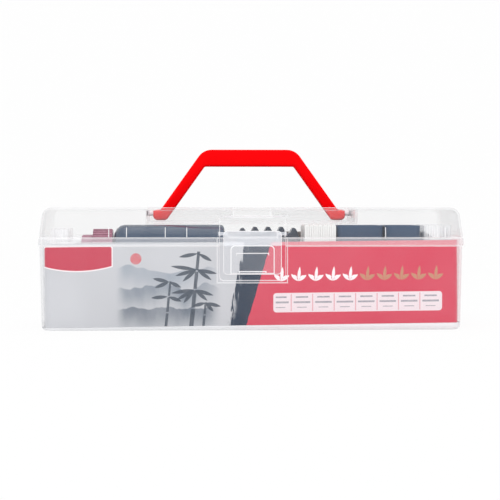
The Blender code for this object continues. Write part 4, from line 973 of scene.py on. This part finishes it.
class WRITINGBOX_OT_bottle(bpy.types.Operator):
    """Makes the ink bottle, its ink, plug and ribbed screw cap"""

    bl_idname = "writingbox.bottle"
    bl_label = "Ink bottle"

    rib_count = 40

    def execute(self, context):
        settings = context.scene.writing_set
        glaze = moulded("bottle plastic", settings.bottle, 0.16, grain=260.0, depth=0.02, wear=0.1)
        softened("ink_bottle_skin", "ink_bottle", "base", "dark_bottle", 0.5 * MM, glaze, steps=3)
        dress("ink_fill", moulded("ink", paint(9, 10, 14), 0.06, grain=60.0, wear=0.2))
        plug = moulded("plug plastic", paint(236, 236, 232), 0.4)
        softened("plug_skin", "bottle_plug", "base", "white_plug", 0.2 * MM, plug)
        cap = moulded("cap plastic", settings.cap, 0.28, 0.45, grain=500.0, wear=0.08)
        softened("cap_skin", "bottle_cap", "bottle_cap", "red_cap", 0.4 * MM, cap, steps=3)
        self.cap_ribs(cap)
        return {"FINISHED"}

    def cap_ribs(self, finish):
        """Grip ribs round the cap's skirt."""
        low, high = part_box("bottle_cap")
        radius = (high.z - low.z) / 2
        skirt = 0.6 * (high.x - low.x)
        ribs = Growth(
            "cap ribs", Count=self.rib_count, Radius=radius - 0.1 * MM, Length=skirt, Width=1.1 * MM,
            Height=0.9 * MM)
        ring = ribs.node("GeometryNodeMeshCircle", None, ribs["Count"], ribs["Radius"])
        size = ribs.vector(ribs["Length"], ribs["Width"], ribs["Height"])
        rib = ribs.node("GeometryNodeMeshCube", None, size, 2, 2, 2)
        turn = ribs.node("GeometryNodeInputIndex") * (2 * math.pi) / ribs["Count"]
        upright = ribs.node("GeometryNodeTransform", None, rib, Rotation=(0.0, math.pi / 2, 0.0))
        about = ribs.vector(0.0, 0.0, turn)
        copies = ribs.node("GeometryNodeInstanceOnPoints", None, ring, Instance=upright, Rotation=about)
        middle = (low + high) / 2
        placed = ribs.node(
            "GeometryNodeTransform", None, copies,
            Translation=(high.x - skirt / 2 - 0.6 * MM, middle.y, middle.z), Rotation=(0.0, math.pi / 2, 0.0))
        settle(ribs.end(placed, finish).grow("cap_grip_ribs"), "bottle_cap", "red_cap")


class WRITINGBOX_OT_dishes(bpy.types.Operator):
    """Makes the two slate dishes"""

    bl_idname = "writingbox.dishes"
    bl_label = "Dishes"

    def execute(self, context):
        colour = context.scene.writing_set.slate
        slate = moulded("dish plastic", colour, 0.38, 0.4, grain=1400.0, depth=0.03, wear=0.14)
        for node in ("ink_dish", "water_dish"):
            softened(f"{node}_skin", node, "base", "slate_dish", 0.7 * MM, slate, steps=3)
        return {"FINISHED"}


class WRITINGBOX_OT_rest(bpy.types.Operator):
    """Makes the lacquered brush rest"""

    bl_idname = "writingbox.rest"
    bl_label = "Brush rest"

    def execute(self, context):
        lacquer = moulded("rest lacquer", paint(20, 38, 60), 0.22, grain=90.0, depth=0.04, wear=0.2)
        softened("brush_rest_skin", "brush_rest", "base", "dark_rest", 0.25 * MM, lacquer)
        return {"FINISHED"}


class WRITINGBOX_OT_brushes(bpy.types.Operator):
    """Makes the four brushes: stained cane shafts, horn knobs, hair and clear tip tubes"""

    bl_idname = "writingbox.brushes"
    bl_label = "Brushes"

    def execute(self, context):
        settings = context.scene.writing_set
        cane, horn, hair = stained_cane(settings.cane), polished_horn(), stiff_hair()
        tube = clear_plastic("clear tip tube", paint(244, 247, 248), 0.10, 0.6)
        # Painted highlight: the tubes' rounded edges take a near-opaque white.
        tube_edge_highlight = clear_plastic("clear tip tube rim", paint(250, 251, 252), 0.5, 0.8)
        strands = self.strands(hair)
        for number in range(1, 5):
            brush = f"brush_{number}"
            softened(f"{brush}_cane", f"{brush}_shaft", "base", "bamboo", 0.3 * MM, cane)
            softened(f"{brush}_end", f"{brush}_knob", "base", "horn", 0.3 * MM, horn)
            softened(f"{brush}_tube", f"{brush}_cap", "base", "clear_cap", 0.2 * MM, tube, tube_edge_highlight)
            low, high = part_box(f"{brush}_tip")
            middle = (low + high) / 2
            made = strands.grow(
                f"{brush}_hair", Length=high.x - low.x, Radius=(high.z - low.z) / 2,
                Root=high.x, Across=middle.y, Up=middle.z)
            settle(made, "base", "hair", f"{brush}_tip")
        return {"FINISHED"}

    @staticmethod
    def strands(finish):
        """Hairs that leave a round root, swell to the belly and close in a point."""
        hair = Growth(
            "brush hair", Count=420, Steps=9, Length=40 * MM, Radius=4 * MM, Thickness=0.22 * MM,
            Root=0.0, Across=0.0, Up=0.0)
        line = hair.node("GeometryNodeCurvePrimitiveLine", None, (0.0, 0.0, 0.0), (1.0, 0.0, 0.0))
        line = hair.node("GeometryNodeResampleCurve", None, line, Count=hair["Steps"])
        points = hair.node("GeometryNodeMeshLine", None, Count=hair["Count"], Offset=(0.0, 0.0, 0.0))
        copies = hair.node("GeometryNodeInstanceOnPoints", None, points, Instance=line)
        loose = hair.node("GeometryNodeRealizeInstances", None, copies)
        number = (hair.node("GeometryNodeInputIndex") / hair["Steps"]).floor()
        along = hair.node("GeometryNodeSplineParameter", output="Factor")
        share = (number + 0.5) / hair["Count"]
        golden_turn = math.pi * (3 - 5 ** 0.5)
        turn = number * golden_turn
        swell = (1 - along ** 2.4) * (0.80 + 0.55 * along)
        reach = hair["Radius"] * share ** 0.5 * swell
        sway = 0.12 * (number * 1.7 + along * 5.0).sine() * swell
        spot = hair.vector(
            hair["Root"] - along * hair["Length"] * (1 - 0.05 * share),
            hair["Across"] + reach * (turn + sway).cosine(),
            hair["Up"] + reach * (turn + sway).sine(),
        )
        bent = hair.node("GeometryNodeSetPosition", None, loose, Position=spot)
        ring = hair.node("GeometryNodeCurvePrimitiveCircle", None, 3, Radius=1.0)
        taper = hair["Thickness"] * (1.15 - along)
        tubes = hair.node("GeometryNodeCurveToMesh", None, bent, ring, Scale=taper, Fill_Caps=True)
        return hair.end(tubes, finish)


class WRITINGBOX_OT_mat(bpy.types.Operator):
    """Makes the felt mat, folded to and fro under the tray"""

    bl_idname = "writingbox.mat"
    bl_label = "Felt mat"

    layers = 6

    def execute(self, context):
        low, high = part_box("felt_mat")
        pitch = (high.z - low.z) / self.layers
        depth = high.y - low.y
        path = to_and_fro(self.layers, depth, pitch)
        made = folded_strip(
            "felt_mat_folded", path, pitch * 0.88, high.x - low.x, 40, 0.35 * MM,
            lambda along, up, across: (low.x + across, low.y + along, low.z + up), wool_felt())
        settle(made, "base", "felt", "felt_mat")
        return {"FINISHED"}


class WRITINGBOX_OT_paper(bpy.types.Operator):
    """Makes the stack of practice paper, one thin leaf on the next"""

    bl_idname = "writingbox.paper"
    bl_label = "Practice paper"

    def execute(self, context):
        low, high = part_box("paper_pad")
        room, slip = high - low, 0.5 * MM
        pad = Growth("paper leaves", Leaves=32, Width=room.x - 2 * slip, Depth=room.y - 2 * slip,
                     Height=room.z, Slip=slip, Seed=7)
        step = pad["Height"] / pad["Leaves"]
        leaf_size = pad.vector(pad["Width"], pad["Depth"], step * 0.8)
        sheet = pad.node("GeometryNodeMeshCube", None, leaf_size, 2, 2, 2)
        rows = pad.node("GeometryNodeMeshLine", None, Count=pad["Leaves"], Offset=pad.vector(0.0, 0.0, step))
        shift = pad.node(
            "FunctionNodeRandomValue", {"data_type": "FLOAT_VECTOR"}, (-1.0, -1.0, 0.0), (1.0, 1.0, 0.0),
            Seed=pad["Seed"])
        shift = pad.node("ShaderNodeVectorMath", {"operation": "SCALE"}, shift, Scale=pad["Slip"])
        loose = pad.node("GeometryNodeSetPosition", None, rows, Offset=shift)
        stack = pad.node("GeometryNodeInstanceOnPoints", None, loose, Instance=sheet)
        middle = (low + high) / 2
        foot = pad.vector(middle.x, middle.y, low.z + step / 2)
        placed = pad.node("GeometryNodeTransform", None, stack, Translation=foot)
        settle(pad.end(placed, soft_paper()).grow("paper_leaves"), "base", "paper", "paper_pad")
        return {"FINISHED"}


class WRITINGBOX_OT_cloth(bpy.types.Operator):
    """Makes the writing cloth, a long strip folded into upright layers"""

    bl_idname = "writingbox.cloth"
    bl_label = "Writing cloth"

    layers = 14

    def execute(self, context):
        low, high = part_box("writing_cloth")
        pitch = (high.x - low.x) / self.layers
        path = to_and_fro(self.layers, high.z - low.z, pitch)
        made = folded_strip(
            "writing_cloth_folded", path, pitch * 0.9, high.y - low.y, 16, 0.25 * MM,
            lambda along, up, across: (low.x + up, low.y + across, low.z + along), plain_weave())
        settle(made, "base", "pale_cloth", "writing_cloth")
        return {"FINISHED"}


OPERATORS = (
    WRITINGBOX_OT_stage, WRITINGBOX_OT_case, WRITINGBOX_OT_pins, WRITINGBOX_OT_handle, WRITINGBOX_OT_card,
    WRITINGBOX_OT_tray, WRITINGBOX_OT_bottle, WRITINGBOX_OT_dishes, WRITINGBOX_OT_rest, WRITINGBOX_OT_brushes,
    WRITINGBOX_OT_mat, WRITINGBOX_OT_paper, WRITINGBOX_OT_cloth,
)


class WRITINGBOX_PT_sidebar(bpy.types.Panel):
    """Lists the steps that dress the box"""

    bl_idname = "WRITINGBOX_PT_sidebar"
    bl_label = "Writing Box"
    bl_space_type = "VIEW_3D"
    bl_region_type = "UI"
    bl_category = "Writing Box"

    def draw(self, context):
        for group in SETTINGS:
            settings = getattr(context.scene, group)
            box = self.layout.box()
            for key in settings.bl_rna.properties.keys():
                if key not in ("rna_type", "name"):
                    box.prop(settings, key)
        for step in OPERATORS:
            self.layout.operator(step.bl_idname)


def register():
    for kind in (*SETTINGS.values(), *OPERATORS, WRITINGBOX_PT_sidebar):
        bpy.utils.register_class(kind)
    for group, kind in SETTINGS.items():
        setattr(bpy.types.Scene, group, bpy.props.PointerProperty(type=kind))


def unregister():
    for group in SETTINGS:
        delattr(bpy.types.Scene, group)
    for kind in reversed((*SETTINGS.values(), *OPERATORS, WRITINGBOX_PT_sidebar)):
        bpy.utils.unregister_class(kind)


def main():
    register()
    for step in OPERATORS:
        getattr(bpy.ops.writingbox, step.bl_idname.split(".")[1])()


if __name__ == "__main__":
    main()
